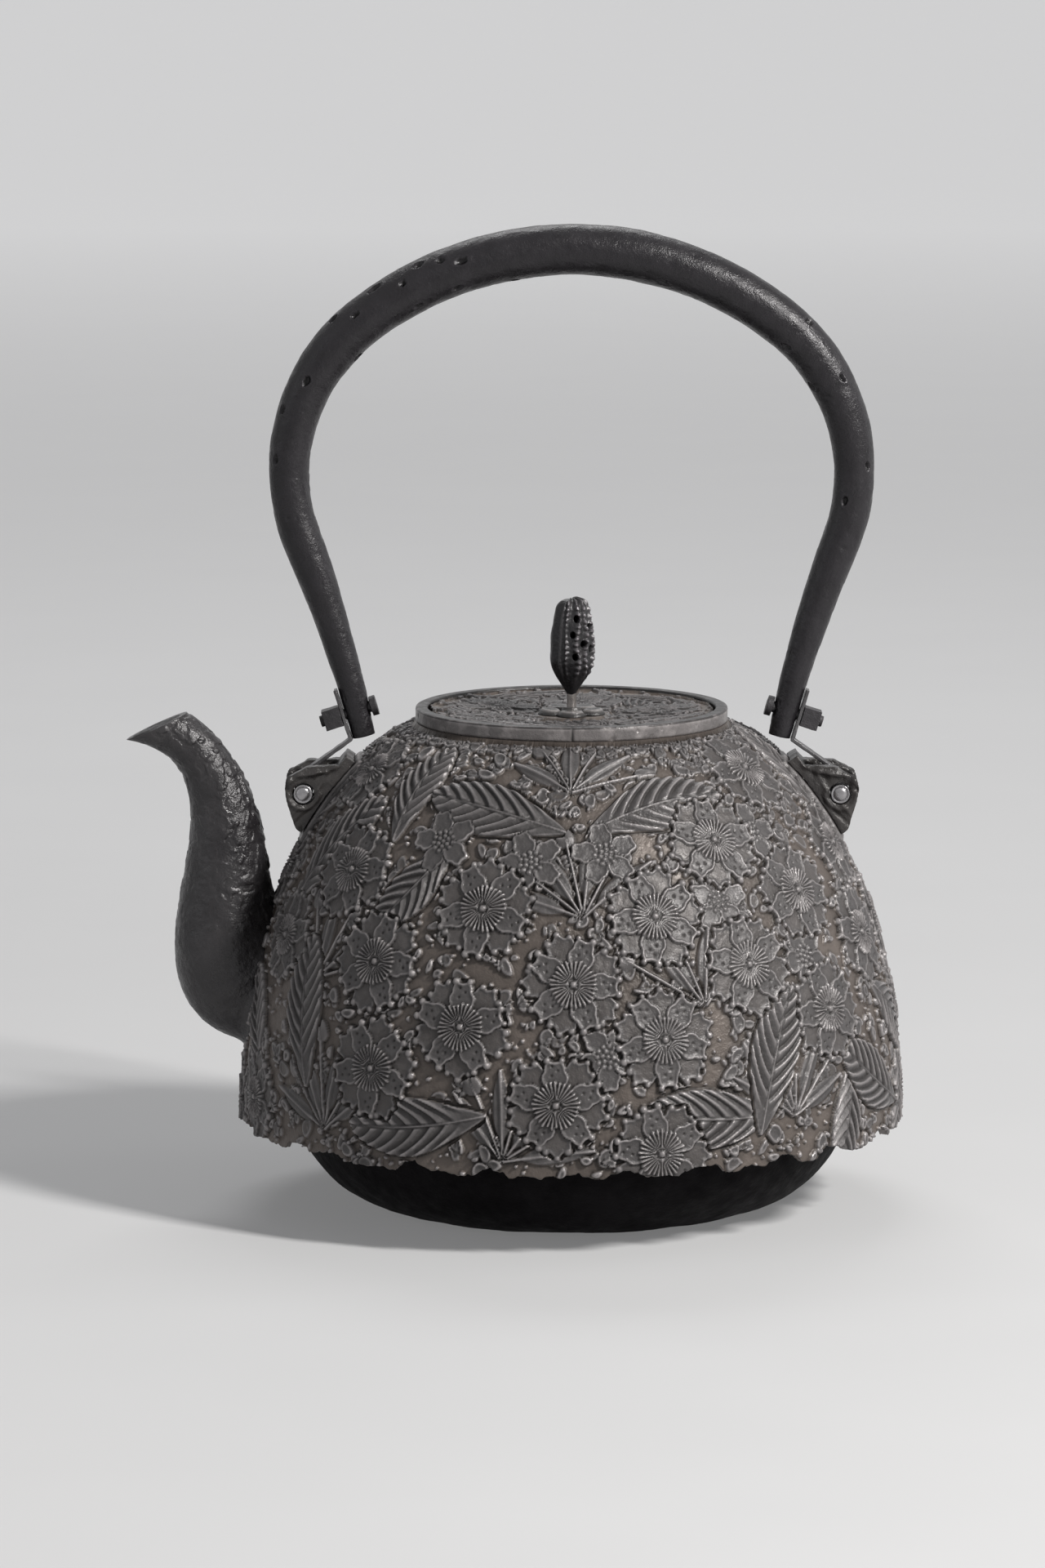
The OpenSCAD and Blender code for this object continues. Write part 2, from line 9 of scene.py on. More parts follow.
import bpy
import numpy as np
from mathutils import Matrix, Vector


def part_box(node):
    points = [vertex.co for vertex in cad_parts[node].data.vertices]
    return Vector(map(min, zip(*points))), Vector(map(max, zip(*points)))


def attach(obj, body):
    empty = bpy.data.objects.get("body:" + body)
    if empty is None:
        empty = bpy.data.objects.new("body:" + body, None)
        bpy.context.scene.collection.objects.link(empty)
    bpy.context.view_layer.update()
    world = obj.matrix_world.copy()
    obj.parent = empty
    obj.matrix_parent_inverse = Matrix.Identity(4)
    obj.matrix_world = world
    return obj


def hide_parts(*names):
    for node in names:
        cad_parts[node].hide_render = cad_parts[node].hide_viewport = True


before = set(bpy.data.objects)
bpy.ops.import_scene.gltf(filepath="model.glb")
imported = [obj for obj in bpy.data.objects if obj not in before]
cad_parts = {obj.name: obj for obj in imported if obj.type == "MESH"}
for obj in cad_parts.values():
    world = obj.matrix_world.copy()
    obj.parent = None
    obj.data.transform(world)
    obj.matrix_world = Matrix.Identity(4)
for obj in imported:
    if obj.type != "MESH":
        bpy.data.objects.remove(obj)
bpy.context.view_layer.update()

MM = 0.001
TAU = 2 * math.pi
rng = np.random.default_rng(1838)

# ---- sizes, from the frame where it has them

def corners(node):
    """A node's lowest and highest corners in mm."""
    return [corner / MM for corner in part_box(node)]


shell_low, shell_high = corners("body_shell")
collar_high = corners("mouth_collar")[1]
bowl_high = corners("bottom_bowl")[1]
lid_low, lid_high = corners("lid_disc")
knob_low, knob_high = corners("knob")
seat_low, seat_high = corners("knob_seat")
pin_low, pin_high = corners("cross_pin_right")

SKIRT_R = shell_high.x
SKIRT_Z = shell_low.z
SHOULDER_Z = shell_high.z
COLLAR_R = collar_high.x
COLLAR_TOP = collar_high.z
LID_R = lid_high.x
PIN_R = (pin_high.x - pin_low.x) / 2
PIN_X = (pin_low.x + pin_high.x) / 2
PIN_Z = (pin_low.z + pin_high.z) / 2
MOUTH_R = 36.0
COLLAR_STEP = 0.9      # from the collar out to the dome's top edge
DOME_FULLNESS = 2.27
SHOULDER_ROUNDNESS = 1.43
WALL = 3.2
RELIEF = 1.95          # height of the highest relief above the bare ground
GRID = 0.34            # spacing of the points on the dome
LUG_DROP = 22.3        # from the shoulder down to the lugs
LUG_FOOT = (10.2, 11.5, 17.0)    # their reach across, down and up the dome, with a margin
MOAT = 1.0             # bare ground kept round a blossom or leaf
LID_DISH = 2.3         # how far the lid's middle lies below its rim
LID_RELIEF = 1.25
SEAT_R = 9.6           # the lid's plain middle, under the knob's seat
KNOB_HOLE_R = 1.35     # through the lid and the seat


# ---- camera and light

def add(name, data):
    """A new object in the scene."""
    obj = bpy.data.objects.new(name, data)
    bpy.context.scene.collection.objects.link(obj)
    return obj


def aim(obj, place, ahead):
    obj.location = place
    obj.rotation_mode = "QUATERNION"
    obj.rotation_quaternion = ahead.to_track_quat("-Z", "Y")


def make_camera():
    elevation = math.radians(8.5)
    distance = 2.2
    frame_height = 0.432            # seen at the kettle's axis
    target = Vector((-0.0135, 0, 0.116))
    back = Vector((0, -math.cos(elevation), math.sin(elevation)))
    data = bpy.data.cameras.new("camera")
    data.sensor_width = 36
    data.lens = data.sensor_width / frame_height * distance
    camera = bpy.context.scene.camera = add("camera", data)
    aim(camera, target + distance * back, -back)


def area_light(name, place, size, power, colour=(1, 1, 1)):
    data = bpy.data.lights.new(name, "AREA")
    data.shape = "RECTANGLE"
    data.size, data.size_y = size
    data.energy = power
    data.color = colour
    place, middle = Vector(place), Vector((0, 0, 0.11))
    aim(add(name, data), place, middle - place)


def make_lights():
    area_light("key", (1.22, -1.0, 1.25), (0.22, 0.28), 46, (1, 0.985, 0.96))
    area_light("right_strip", (1.2, 0.35, 0.45), (0.25, 0.9), 1.2)
    area_light("left_fill", (-1.3, -0.5, 0.55), (0.6, 0.9), 1.0, (0.95, 0.97, 1))
    area_light("back_top", (-0.1, 1.0, 1.3), (0.9, 0.4), 6)


def make_world():
    """Soft light on the object, and a plain pale room for what is seen or mirrored."""
    world = Nodes(bpy.data.worlds.new("studio"))
    world.nodes.clear()
    soft = world.node("Background", {"Color": (0.80, 0.81, 0.84), "Strength": 0.13})
    seen = world.node("Background", {"Color": (0.55, 0.55, 0.555), "Strength": 1.0})
    surface = world.nodes.new("ShaderNodeOutputWorld").inputs["Surface"]
    world.put(surface, world.node("MixShader", {0: world.seen(), 1: soft, 2: seen}))
    bpy.context.scene.world = world.owner


def make_stage():
    half, back_y, bend, top = 6.0, 3.4, 1.4, 5.0
    profile = [(-half, 0.0)]
    for a in np.linspace(0, math.pi / 2, 13):
        profile.append((back_y + bend * math.sin(a), bend * (1 - math.cos(a))))
    profile.append((back_y + bend, top))
    verts = [(x, y, z) for y, z in profile for x in (-half, half)]
    faces = [(2 * i, 2 * i + 1, 2 * i + 3, 2 * i + 2) for i in range(len(profile) - 1)]
    mesh = bpy.data.meshes.new("floor")
    mesh.from_pydata(verts, [], faces)
    for polygon in mesh.polygons:
        polygon.use_smooth = True
    floor = add("floor", mesh)
    paper = Paint("floor_paper")
    grain = paper.noise(9, detail=2)
    paper.set("Base Color", paper.ramp(grain, (0.495, 0.495, 0.50), (0.505, 0.505, 0.51)))
    paper.set("Roughness", 0.85)
    paper.set("Emission Color", (0.80, 0.80, 0.805))
    depth = paper.node("SeparateXYZ", {0: paper.place}, "Y")
    paler = paper.span(depth, 0.4, back_y, 0.20, 0.66)      # towards the back
    paper.set("Emission Strength", paper.math("MULTIPLY", paper.seen(), paler))
    floor.data.materials.append(paper.owner)


# ---- materials

class Nodes:
    """The nodes of a material or world, and short calls that add to them."""

    def __init__(self, owner):
        owner.use_nodes = True
        self.owner, self.nodes, self.links = owner, owner.node_tree.nodes, owner.node_tree.links

    def put(self, socket, value):
        if isinstance(value, bpy.types.NodeSocket):
            self.links.new(value, socket)
        elif isinstance(value, tuple):
            socket.default_value = (*value, 1)
        else:
            socket.default_value = value

    def node(self, kind, inputs, output=0, **settings):
        node = self.nodes.new("ShaderNode" + kind)
        for key, value in settings.items():
            setattr(node, key, value)
        for socket, value in inputs.items():
            self.put(node.inputs[socket], value)
        return node.outputs[output]

    def math(self, kind, a, b):
        return self.node("Math", {0: a, 1: b}, operation=kind)

    def seen(self):
        """1 for what the camera, a reflection or glass shows, and 0 for light on the object."""
        path = self.nodes.new("ShaderNodeLightPath").outputs
        mirrored = self.math("MAXIMUM", path["Is Glossy Ray"], path["Is Transmission Ray"])
        return self.math("MAXIMUM", path["Is Camera Ray"], mirrored)


class Paint(Nodes):
    """A principled material."""

    def __init__(self, name):
        super().__init__(bpy.data.materials.new(name))
        self.name = name
        self.place = self.node("TexCoord", {}, "Object")

    def set(self, socket, value):
        self.put(self.nodes["Principled BSDF"].inputs[socket], value)

    def noise(self, scale, detail=4, rough=0.55):
        """Noise with scale bumps to the metre."""
        inputs = {"Scale": scale, "Detail": detail, "Roughness": rough, "Vector": self.place}
        return self.node("TexNoise", inputs, "Fac")

    def span(self, value, start, end, low=0.0, high=1.0):
        """The value's range from start to end, spread over low to high."""
        inputs = {"Value": value, "From Min": start, "From Max": end, "To Min": low, "To Max": high}
        return self.node("MapRange", inputs)

    def ramp(self, value, low, high, start=0.35, end=0.65):
        """Colour low below start and high above end."""
        inputs = {0: self.span(value, start, end), 6: low, 7: high}
        return self.node("Mix", inputs, 2, data_type="RGBA")

    def layer(self, name):
        """A number stored on the mesh's points."""
        return self.node("Attribute", {}, "Fac", attribute_name=name)

    def cast(self, colour, metal, shine, roughness, *grains):
        """Sets the shader. Each grain has its bumps to the metre, detail and depth."""
        self.set("Base Color", colour)
        self.set("Metallic", metal)
        self.set("Specular IOR Level", shine)
        self.set("Roughness", roughness)
        under = {}
        for scale, detail, depth in grains:
            height = self.noise(scale, detail)
            inputs = {"Strength": 1.0, "Distance": depth, "Height": height, **under}
            under = {"Normal": self.node("Bump", inputs, "Normal")}
        self.set("Normal", under["Normal"])
        return self


def iron(name, dark, light, rough, grain=0.00012, metal=0.25, shine=0.5):
    """Iron with blotches, small lighter specks and a fine casting grain."""
    paint = Paint(name)
    blotch = paint.noise(55, detail=6)
    speck = paint.noise(900, detail=3, rough=0.7)
    colour = paint.ramp(blotch, dark, light, 0.34, 0.68)
    colour = paint.ramp(paint.math("MULTIPLY", speck, blotch), colour, light, 0.30, 0.52)
    dull = paint.span(paint.noise(240, detail=5), 0.3, 0.7, *rough)
    return paint.cast(colour, metal, shine, dull, (2600, 2, grain), (700, 3, 1.6 * grain))


def times(factor, colour):
    return tuple(min(1, factor * c) for c in colour)


def relief_iron(name, ground, raised, painted_shade, rough=(0.26, 0.56), shine=0.5):
    """Sand-cast iron whose layers say how high each point stands and how exposed it is. Sunk
    places, low in crest, are painted dark as painted shade, and crests bright as wear and painted
    highlight.
    """
    paint = Paint(name)
    high, crest = paint.layer("relief"), paint.layer("crest")
    blotch = paint.noise(42, detail=6)
    patch = paint.ramp(blotch, ground, times(0.72, ground), 0.36, 0.66)
    metal = paint.ramp(paint.noise(160, detail=5), raised, times(0.74, raised), 0.36, 0.66)
    colour = paint.ramp(high, patch, metal, 0.25, 0.62)
    colour = paint.ramp(crest, colour, times(2.9, raised), 0.57, 0.88)       # worn bright, and partly a painted highlight on the crests
    # painted shade: places low in crest are painted dark, where shade falls
    colour = paint.ramp(crest, painted_shade, colour, 0.10, 0.49)
    dull = paint.math("SUBTRACT", paint.noise(380), paint.math("MULTIPLY", crest, 0.25))
    dull = paint.span(dull, 0.1, 0.6, *rough)
    return paint.cast(colour, 0.25, shine, dull, (3000, 2, 0.00008), (1100, 3, 0.00014))


# ---- numbers

def unit(x):
    return np.clip(x, 0, 1)


def ease(x):
    x = unit(x)
    return x * x * (3 - 2 * x)


def bell(x, width=1.0):
    """1 at 0, and falling to nothing at about two widths on each side."""
    return np.exp(-(x / width) ** 2)


def mound(q):
    """A half ball's height, q radii from its middle."""
    return np.sqrt(unit(1 - q ** 2))


def turned_by(a, u, v):
    """Offsets along and across the direction a."""
    return u * math.cos(a) + v * math.sin(a), v * math.cos(a) - u * math.sin(a)


def circle(count):
    """Even turns in radians, once round."""
    return np.arange(count) * TAU / count


def wrapped(a, turn=TAU):
    """The same angles, from minus half a turn to half a turn."""
    return (a + turn / 2) % turn - turn / 2


def run(x, z):
    """The length along a line up to each of its points."""
    return np.concatenate([[0], np.cumsum(np.hypot(np.diff(x), np.diff(z)))])


def spread(i):
    """The part's own repeatable spread of values from 0 to 1."""
    s = np.sin(np.radians(np.asarray(i) * 127.1 + 31.7)) * 437.585
    return s - np.floor(s)


def lattice(ix, iy, iz, seed):
    h = (ix * 374761393 + iy * 668265263 + iz * 1440662683 + seed * 974634777) & 0xFFFFFFFF
    h = ((h ^ (h >> 13)) * 1274126177) & 0xFFFFFFFF
    return ((h ^ (h >> 16)) & 0xFFFF) / 65535


def noise(points, size, seed):
    """Smooth noise from -1 to 1, with bumps about size across."""
    q = points / size
    low = np.floor(q).astype(np.int64)
    f = q - low
    f = f * f * (3 - 2 * f)
    total = np.zeros(q.shape[:-1])
    for corner in range(8):
        step = np.array([corner & 1, corner >> 1 & 1, corner >> 2 & 1])
        weight = np.prod(np.where(step, f, 1 - f), axis=-1)
        at = low + step
        total += weight * lattice(at[..., 0], at[..., 1], at[..., 2], seed)
    return 2 * total - 1


def rough(points, size, octaves, seed):
    """Noise in octaves, each half the size and half the strength of the last."""
    return sum(noise(points, size / 2 ** k, seed + k) / 2 ** k for k in range(octaves))


def softened(values, passes):
    """Values averaged with their neighbours; the columns are closed round."""
    for _ in range(passes):
        values = (np.roll(values, 1, 1) + 2 * values + np.roll(values, -1, 1)) / 4
        padded = np.pad(values, ((1, 1), (0, 0)), mode="edge")
        values = (padded[:-2] + 2 * values + padded[2:]) / 4
    return values


# ---- meshes

def build(name, points, capped=False, **layers):
    """A closed mesh over points (rows, columns, 3) in mm, whose columns run round.

    The rows run round too, unless the first and last are capped, each with a fan of
    faces round a middle point. Seen from outside, columns run right and rows up.
    """
    rows, cols = points.shape[:2]
    index = np.arange(rows * cols).reshape(rows, cols)
    lower, upper = (index[:-1], index[1:]) if capped else (index, np.roll(index, -1, 0))
    quads = np.stack([lower, np.roll(lower, -1, 1), np.roll(upper, -1, 1), upper], -1)
    quads = quads.reshape(-1, 4)
    verts, tris = points.reshape(-1, 3), np.zeros((0, 3), int)
    if capped:
        for ring, way in ((index[0], -1), (index[-1], 1)):
            fan = [*(ring, np.roll(ring, -1))[::way], np.full(cols, len(verts))]
            tris = np.concatenate([tris, np.stack(fan, -1)])
            verts = np.vstack([verts, verts[ring].mean(0)])
    mesh = bpy.data.meshes.new(name)
    mesh.vertices.add(len(verts))
    mesh.vertices.foreach_set("co", (verts * MM).astype(np.float32).ravel())
    loops = np.concatenate([quads.ravel(), tris.ravel()])
    mesh.loops.add(len(loops))
    mesh.loops.foreach_set("vertex_index", loops.astype(np.int32))
    counts = np.repeat([4, 3], [len(quads), len(tris)])
    mesh.polygons.add(len(counts))
    mesh.polygons.foreach_set("loop_start", (np.cumsum(counts) - counts).astype(np.int32))
    mesh.polygons.foreach_set("use_smooth", np.ones(len(counts), bool))
    for layer, values in layers.items():
        data = np.zeros(len(verts), np.float32)
        data[:values.size] = values.ravel()
        mesh.attributes.new(layer, "FLOAT", "POINT").data.foreach_set("value", data)
    mesh.update(calc_edges=True)
    return add(name, mesh)


def finish(obj, paint, body, node, slot=None):
    """Gives a piece its material and says what it rides on and replaces. The slot
    argument is not used."""
    obj.data.materials.clear()
    obj.data.materials.append(paint.owner)
    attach(obj, body)
    slot or paint.name
    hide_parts(node)


def settle(obj):
    """Makes the modifiers' result the mesh itself."""
    graph = bpy.context.evaluated_depsgraph_get()
    mesh = bpy.data.meshes.new_from_object(obj.evaluated_get(graph))
    obj.modifiers.clear()
    obj.data = mesh


def cut(obj, tool):
    """Takes the closed mesh tool away from obj, and deletes it."""
    modifier = obj.modifiers.new("cut", "BOOLEAN")
    modifier.operation = "DIFFERENCE"
    modifier.solver = "MANIFOLD"
    modifier.object = tool
    settle(obj)
    bpy.data.objects.remove(tool)


def around(r, z, turns):
    """Points at radii r and heights z, for each of the turns in radians."""
    r, z = np.broadcast_arrays(*(np.asarray(a, float) for a in (r, z)))
    r, z = (a[:, None] if a.ndim == 1 else a for a in (r, z))
    r, z, t = np.broadcast_arrays(r, z, turns[None, :])
    return np.stack([r * np.sin(t), -r * np.cos(t), z], -1)


def polyline(points, spacing):
    """Points no more than spacing apart along straight runs between the given ones."""
    line = [np.asarray(points[0], float)]
    for end in points[1:]:
        start, end = line[-1], np.asarray(end, float)
        count = max(1, int(np.ceil(np.linalg.norm(end - start) / spacing)))
        line += [start + (end - start) * (k + 1) / count for k in range(count)]
    return np.array(line)


# ---- the dome's profile, as the part has it

def dome_r(z):
    top_r = COLLAR_R + COLLAR_STEP
    t = unit((np.asarray(z, float) - SKIRT_Z) / (SHOULDER_Z - SKIRT_Z))
    return top_r + (SKIRT_R - top_r) * (1 - t ** DOME_FULLNESS) ** (1 / SHOULDER_ROUNDNESS)


class Profile:
    """The dome's outline by its length from the skirt."""

    def __init__(self):
        u = np.linspace(0, 1, 4000)
        self.z = SKIRT_Z + (SHOULDER_Z - SKIRT_Z) * (1 - (1 - u) ** 1.6)
        self.r = dome_r(self.z)
        self.arc = run(self.r, self.z)
        dr, dz = np.gradient(self.r, self.arc), np.gradient(self.z, self.arc)
        self.out_r, self.out_z = dz, -dr
        self.length = self.arc[-1]

    def at(self, arc):
        """Radius, height and the outward direction's two parts."""
        values = (self.r, self.z, self.out_r, self.out_z)
        return [np.interp(arc, self.arc, v) for v in values]

    def arc_of(self, height):
        return float(np.interp(height, self.z, self.arc))


# ---- motifs: the height at u, v, 0 where there is none, and -1 where the ground is cleared

def petal(along, across, start, reach, half, lobes, notched):
    """Depth inside the edge of a petal whose tip is cut into rounded lobes or notched."""
    long, middle = (reach - start) / 2, (reach + start) / 2
    x, y = (along - middle) / long, across / half
    turn = np.arctan2(y, x)
    wave = 0.5 + 0.5 * np.cos(lobes * turn) * (1 if notched else -1)
    edge = 1 - 0.17 * wave * ease((np.cos(turn) + 0.35) / 0.8)
    return (edge - np.hypot(x, y)) * 0.5 * (long + half)


def rolled(d, level, rim, width=0.42):
    """Height of a plate d mm inside its edge, which is rolled over."""
    face = level - 0.12 * ease(d / 2.2) + rim * bell(d - 0.55, width)
    return np.where(d > 0, face * ease(d / 0.40 + 0.30), 0)


# The lower and upper petals of a double blossom. In shares of its size: root and half
# width. Then lobes, notched or not, level, rim, and the beads at the tip: side and place.
PETALS = [
    (0.30, 0.35, 6.4, False, 0.72, 0.22, ((-0.23, 0.87), (0.0, 0.99), (0.23, 0.87))),
    (0.24, 0.29, 5.0, True, 1.06, 0.30, ((0.15, 0.955), (-0.15, 0.955)))
]
PETAL_HOLES = ((0.60, 0.07), (0.70, -0.06), (0.79, 0.05))


def blossom(u, v, seed, size=13.4):
    """A double blossom: five notched petals over five broad ones, and a burst of stamens."""
    stamens = 30
    h, near = np.zeros_like(u), np.full_like(u, -9)
    for upper, (root, half, lobes, notched, level, rim, tips) in enumerate(PETALS):
        for k in range(5):
            i = seed + 11 * k + 5 * upper
            a = (k + 0.5 * (1 - upper) + 0.12 * (spread(i) - 0.5)) * TAU / 5
            along, across = turned_by(a, u, v)
            reach = size * (1.0 - 0.06 * upper + 0.08 * spread(i + 3))
            d = petal(along, across, root * size, reach, half * size, lobes, notched)
            h = np.where(d > 0, rolled(d, level, rim), h)
            for spot, side in PETAL_HOLES if upper else ():
                q = np.hypot(along - spot * size, across - side * size) / 0.52
                h = h - 0.45 * unit(1 - q ** 2)
            near = np.maximum(near, d)
            for side, out in tips:
                r = 0.80 + 0.50 * spread(i + 40 * side)
                q = np.hypot(along - out * reach, across - side * size) / r
                h = np.maximum(h, (1.25 + 0.4 * upper) * mound(q))
    r, turn = np.hypot(u, v), np.arctan2(v, u) / TAU * stamens
    nearest = np.round(turn)
    ridge = 1 - 2 * np.abs(turn - nearest)
    length = size * (0.455 + 0.06 * spread(nearest % stamens + seed)) * (0.84 + 0.16 * ridge ** 0.5)
    fan = 0.86 + 0.98 * ease(ridge * 1.1) * ease(r / 1.9 - 0.2) * (0.8 + 0.2 * r / length)
    h = np.where(r < length, fan, h)
    centre = r / (0.075 * size)
    h = np.where(centre < 1, 1.15 + 0.75 * mound(centre), h)
    return np.where((h == 0) & (near > -MOAT), -1, h)


def round_blossom(u, v, seed, size=9.5):
    """A small blossom with plain round petals and a heart of beads."""
    h = np.zeros_like(u)
    for k in range(5):
        along, across = turned_by((k + 0.12 * spread(seed + k)) * TAU / 5, u, v)
        reach = (0.96 + 0.10 * spread(seed + k)) * size
        d = petal(along, across, 0.16 * size, reach, 0.36 * size, 5, True)
        h = np.where(d > 0, rolled(d, 1.05 - 0.12 * (k % 2), 0.30), h)
    h = np.where(np.hypot(u, v) < 0.36 * size, 0.75, h)
    for ring, count in ((0.0, 1), (0.16, 6), (0.31, 11)):
        for a in circle(count):
            x, y = ring * size * math.cos(a), ring * size * math.sin(a)
            bead = np.hypot(u - x, v - y) / (0.075 * size)
            h = np.maximum(h, np.where(bead < 1, 0.8 + 0.5 * mound(bead), 0))
    return h


def leaf(u, v, length=42.0, width=7.8, veins=9, bend=1.5):
    """A leaf from its stalk at -length / 2 to its tip at +length / 2, whose thick veins
    bend forwards till they run along its edge."""
    t = unit(u / length + 0.5)
    v = v - bend * np.sin(math.pi * t)
    half = width * np.sin(math.pi * t ** 1.15) ** 0.62 * (0.70 + 0.30 * ease(t / 0.6)) + 0.4
    q = np.abs(v) / half
    sweep = (t - (0.11 * q + 0.16 * q ** 2) * half / width) * veins + 0.5 * (v > 0)
    saw = sweep - np.floor(sweep)
    vane = ease(saw / 0.75) * ease((1 - saw) / 0.20)
    begun = ease((t - 0.10) / 0.22)
    face = 0.62 + 0.93 * vane * ease(q / 0.12) * begun + 0.30 * (1 - begun)
    rib = 0.85 + 0.55 * ease((1 - t) / 0.5) - (np.abs(v) / 0.55) ** 2
    face = np.maximum(face, rib * (t < 0.97))
    edge = (1 - q) * half
    inside = (t > 0) & (t < 1)
    h = np.where((edge > 0) & inside, face * ease(edge / 0.4 + 0.35), 0)
    return np.where((h == 0) & inside & (edge > -MOAT), -1, h)


def blade(u, v, length, width, bend):
    """A narrow leaf on a stalk, from its root at the origin along +u."""
    t = unit(u / length)
    v = v - bend * t ** 2
    half = 0.55 + width * np.sin(math.pi * unit((t - 0.22) / 0.78) ** 0.8) ** 1.1
    q = np.abs(v) / half
    vein = 0.34 * bell(v, 0.5) + 0.10 * np.cos(v * 3.4)
    face = 0.50 + 0.40 * (1 - q ** 2) + vein
    inside = (q < 1) & (u > 0) & (u < length)
    return np.where(inside, face * ease((1 - q) * half / 0.4 + 0.3), 0)


def bud(u, v):
    """A closed bud with a cleft, whose tip is at +u."""
    size = 3.2
    q = np.hypot(u / size, v / (0.8 * size) * (1 + 0.25 * u / size))
    cleft = 0.45 * bell(v, 0.28) * ease(u / size + 0.5)
    return np.where(q < 1, 0.55 + 0.75 * mound(q) - cleft, 0)


def spray(u, v, seed, size=28.0, stems=6):
    """Blades and budded stems that fan up (+v) from one root."""
    h = np.zeros_like(u)
    leans = np.radians(np.linspace(-58, 58, stems) + 7 * (spread(np.arange(stems) + seed) - 0.5))
    for k, lean in enumerate(leans):
        length = size * (0.72 + 0.28 * spread(seed + 3 * k + 1))
        across, along = turned_by(-lean, u, v)
        bend = 3.5 * (spread(seed + 5 * k) - 0.5)
        budded = k % 2
        part = blade(along, across, length, 0.0 if budded else 2.3, bend)
        if budded:
            part = np.maximum(part, bud(along - length, across - bend))
        h = np.where(part > 0, part, h)
    return h


# ---- a surface on which the motifs are stamped

class Canvas:
    """Heights in mm over a grid of points, stamped with motifs."""

    def __init__(self, points, arcs, norths):
        self.points = points
        self.arcs = arcs                    # how far each row is from the first
        self.norths = norths                # the way to the next row, at turn 0
        self.height = np.zeros(points.shape[:2])
        self.columns = points.shape[1]

    def window(self, turn, arc, reach):
        """The rows and columns near a place, and their offsets to its east and north."""
        rows = np.flatnonzero(np.abs(self.arcs - arc) < reach)
        row = int(np.argmin(np.abs(self.arcs - arc)))
        column = int(round(turn / 360 * self.columns))
        radius = max(1.0, float(np.hypot(*self.points[row, 0, :2])))
        span = int(min(self.columns // 2 - 1, reach / radius / TAU * self.columns + 2))
        cols = (column + np.arange(-span, span + 1)) % self.columns
        pick = np.ix_(rows, cols)
        a = column / self.columns * TAU
        east = np.array([math.cos(a), math.sin(a), 0])
        out, up = self.norths[row]
        north = np.array([out * math.sin(a), -out * math.cos(a), up])
        offset = self.points[pick] - self.points[row, column % self.columns]
        return pick, offset @ east, offset @ north

    def stamp(self, motif, turn, arc, spin, reach, **shape):
        """Puts a motif on at a place, over what lies within reach of it."""
        pick, *offsets = self.window(turn, arc, reach)
        h = motif(*turned_by(math.radians(spin), *offsets), **shape)
        self.height[pick] = np.where(h > 0, h, np.where(h < 0, 0, self.height[pick]))

    def crumbs(self, count, arc_range, low, high, plate=False):
        """Beads, or with plate longer flat lobes that lie over each other."""
        arcs = rng.uniform(*arc_range, count)
        turns = rng.uniform(0, 360, count)
        sizes = low + (high - low) * rng.power(0.7, count)
        skews = rng.uniform(0.42, 0.80, count) if plate else rng.uniform(0.75, 1.0, count)
        spins = rng.uniform(0, TAU, count)
        heights = rng.uniform(0.65, 1.20, count)
        for turn, arc, size, skew, spin, top in zip(turns, arcs, sizes, skews, spins, heights):
            pick, *offsets = self.window(turn, arc, size + 0.5)
            along, across = turned_by(spin, *offsets)
            x = along / size
            q = np.hypot(x, across / (size * skew) - 0.35 * x * x)
            if plate:
                h = top * rolled((1 - q) * size * skew, 0.85, 0.30, 0.35)
                self.height[pick] = np.where(h > 0, h, self.height[pick])
            else:
                self.height[pick] = np.maximum(self.height[pick], top * mound(q))

    def pad(self, turn, arc, across, below, above):
        """Brings the ground up to its full height under something that is cast onto it."""
        pick, u, v = self.window(turn, arc, max(across, below, above) + 3)
        inside = np.minimum(across - np.abs(u), np.minimum(v + below, above - v))
        self.height[pick] = np.maximum(self.height[pick], RELIEF * ease(inside / 1.6 + 0.5))

    def layers(self):
        """Height and exposure from 0 to 1, for the material."""
        near, far = 4, 30               # passes that even out fine and broad relief
        close = softened(self.height, near)
        # crest is low in recesses and high on what stands out; the material paints it as painted
        # shade, and as wear with a painted highlight
        crest = 0.5 + 0.95 * (self.height - close) + 0.30 * (close - softened(close, far))
        return {"relief": unit(self.height / 1.1), "crest": unit(crest)}


def scatter(taken, arc_range, gap, profile):
    """Free places at least gap mm from each other and from those taken."""
    tries, found = 900, []
    for _ in range(tries):
        turn, arc = rng.uniform(0, 360), rng.uniform(*arc_range)
        radius = profile.at(arc)[0]
        for other_turn, other_arc, size in taken + found:
            across = math.radians(wrapped(turn - other_turn, 360)) * radius
            if math.hypot(across, arc - other_arc) < gap / 2 + size / 2:
                break
        else:
            found.append((turn, arc, gap))
    return found


# ---- the body

# Turn, height and spin of the double blossoms on the front.
BLOSSOMS = [
    (33, 110, 10), (16, 92, 40), (0, 75, 0), (34, 78, 25), (16, 60, 55), (-3, 43, 20),
    (15, 29, 30), (-20, 63, 15), (-18, 94, 50), (-39, 78, 5), (56, 126, 30), (51, 95, 60),
    (52, 63, 35), (-37, 50, 45), (-52, 100, 10), (70, 80, 20)
]
# Turn, height, spin and bend of the leaves; the spin is the tip's way, from the east.
LEAVES = [
    (25, 39.5, 176, 1.5), (21, 119, 14, 1.0), (-19, 119, 166, 1.0), (66, 42, 150, 2.0),
    (-28, 37, 188, 1.5), (-62, 104, 60, 1.0), (38, 52, 70, 1.5), (-55, 62, 100, 1.5)
]
# Turn, height of the root, and spin of the sprays.
SPRAYS = [(41, 36, -8), (2, 92, 10), (-12, 26, -20), (-47, 30, 8), (24, 68, 15)]
# Turn, height and spin of the small blossoms.
ROUND_BLOSSOMS = [
    (30, 95, 10), (48, 78, 40), (44, 111, 0), (7, 108, 20), (-30, 110, 30), (6, 56, 50),
    (-9, 106, 35)
]


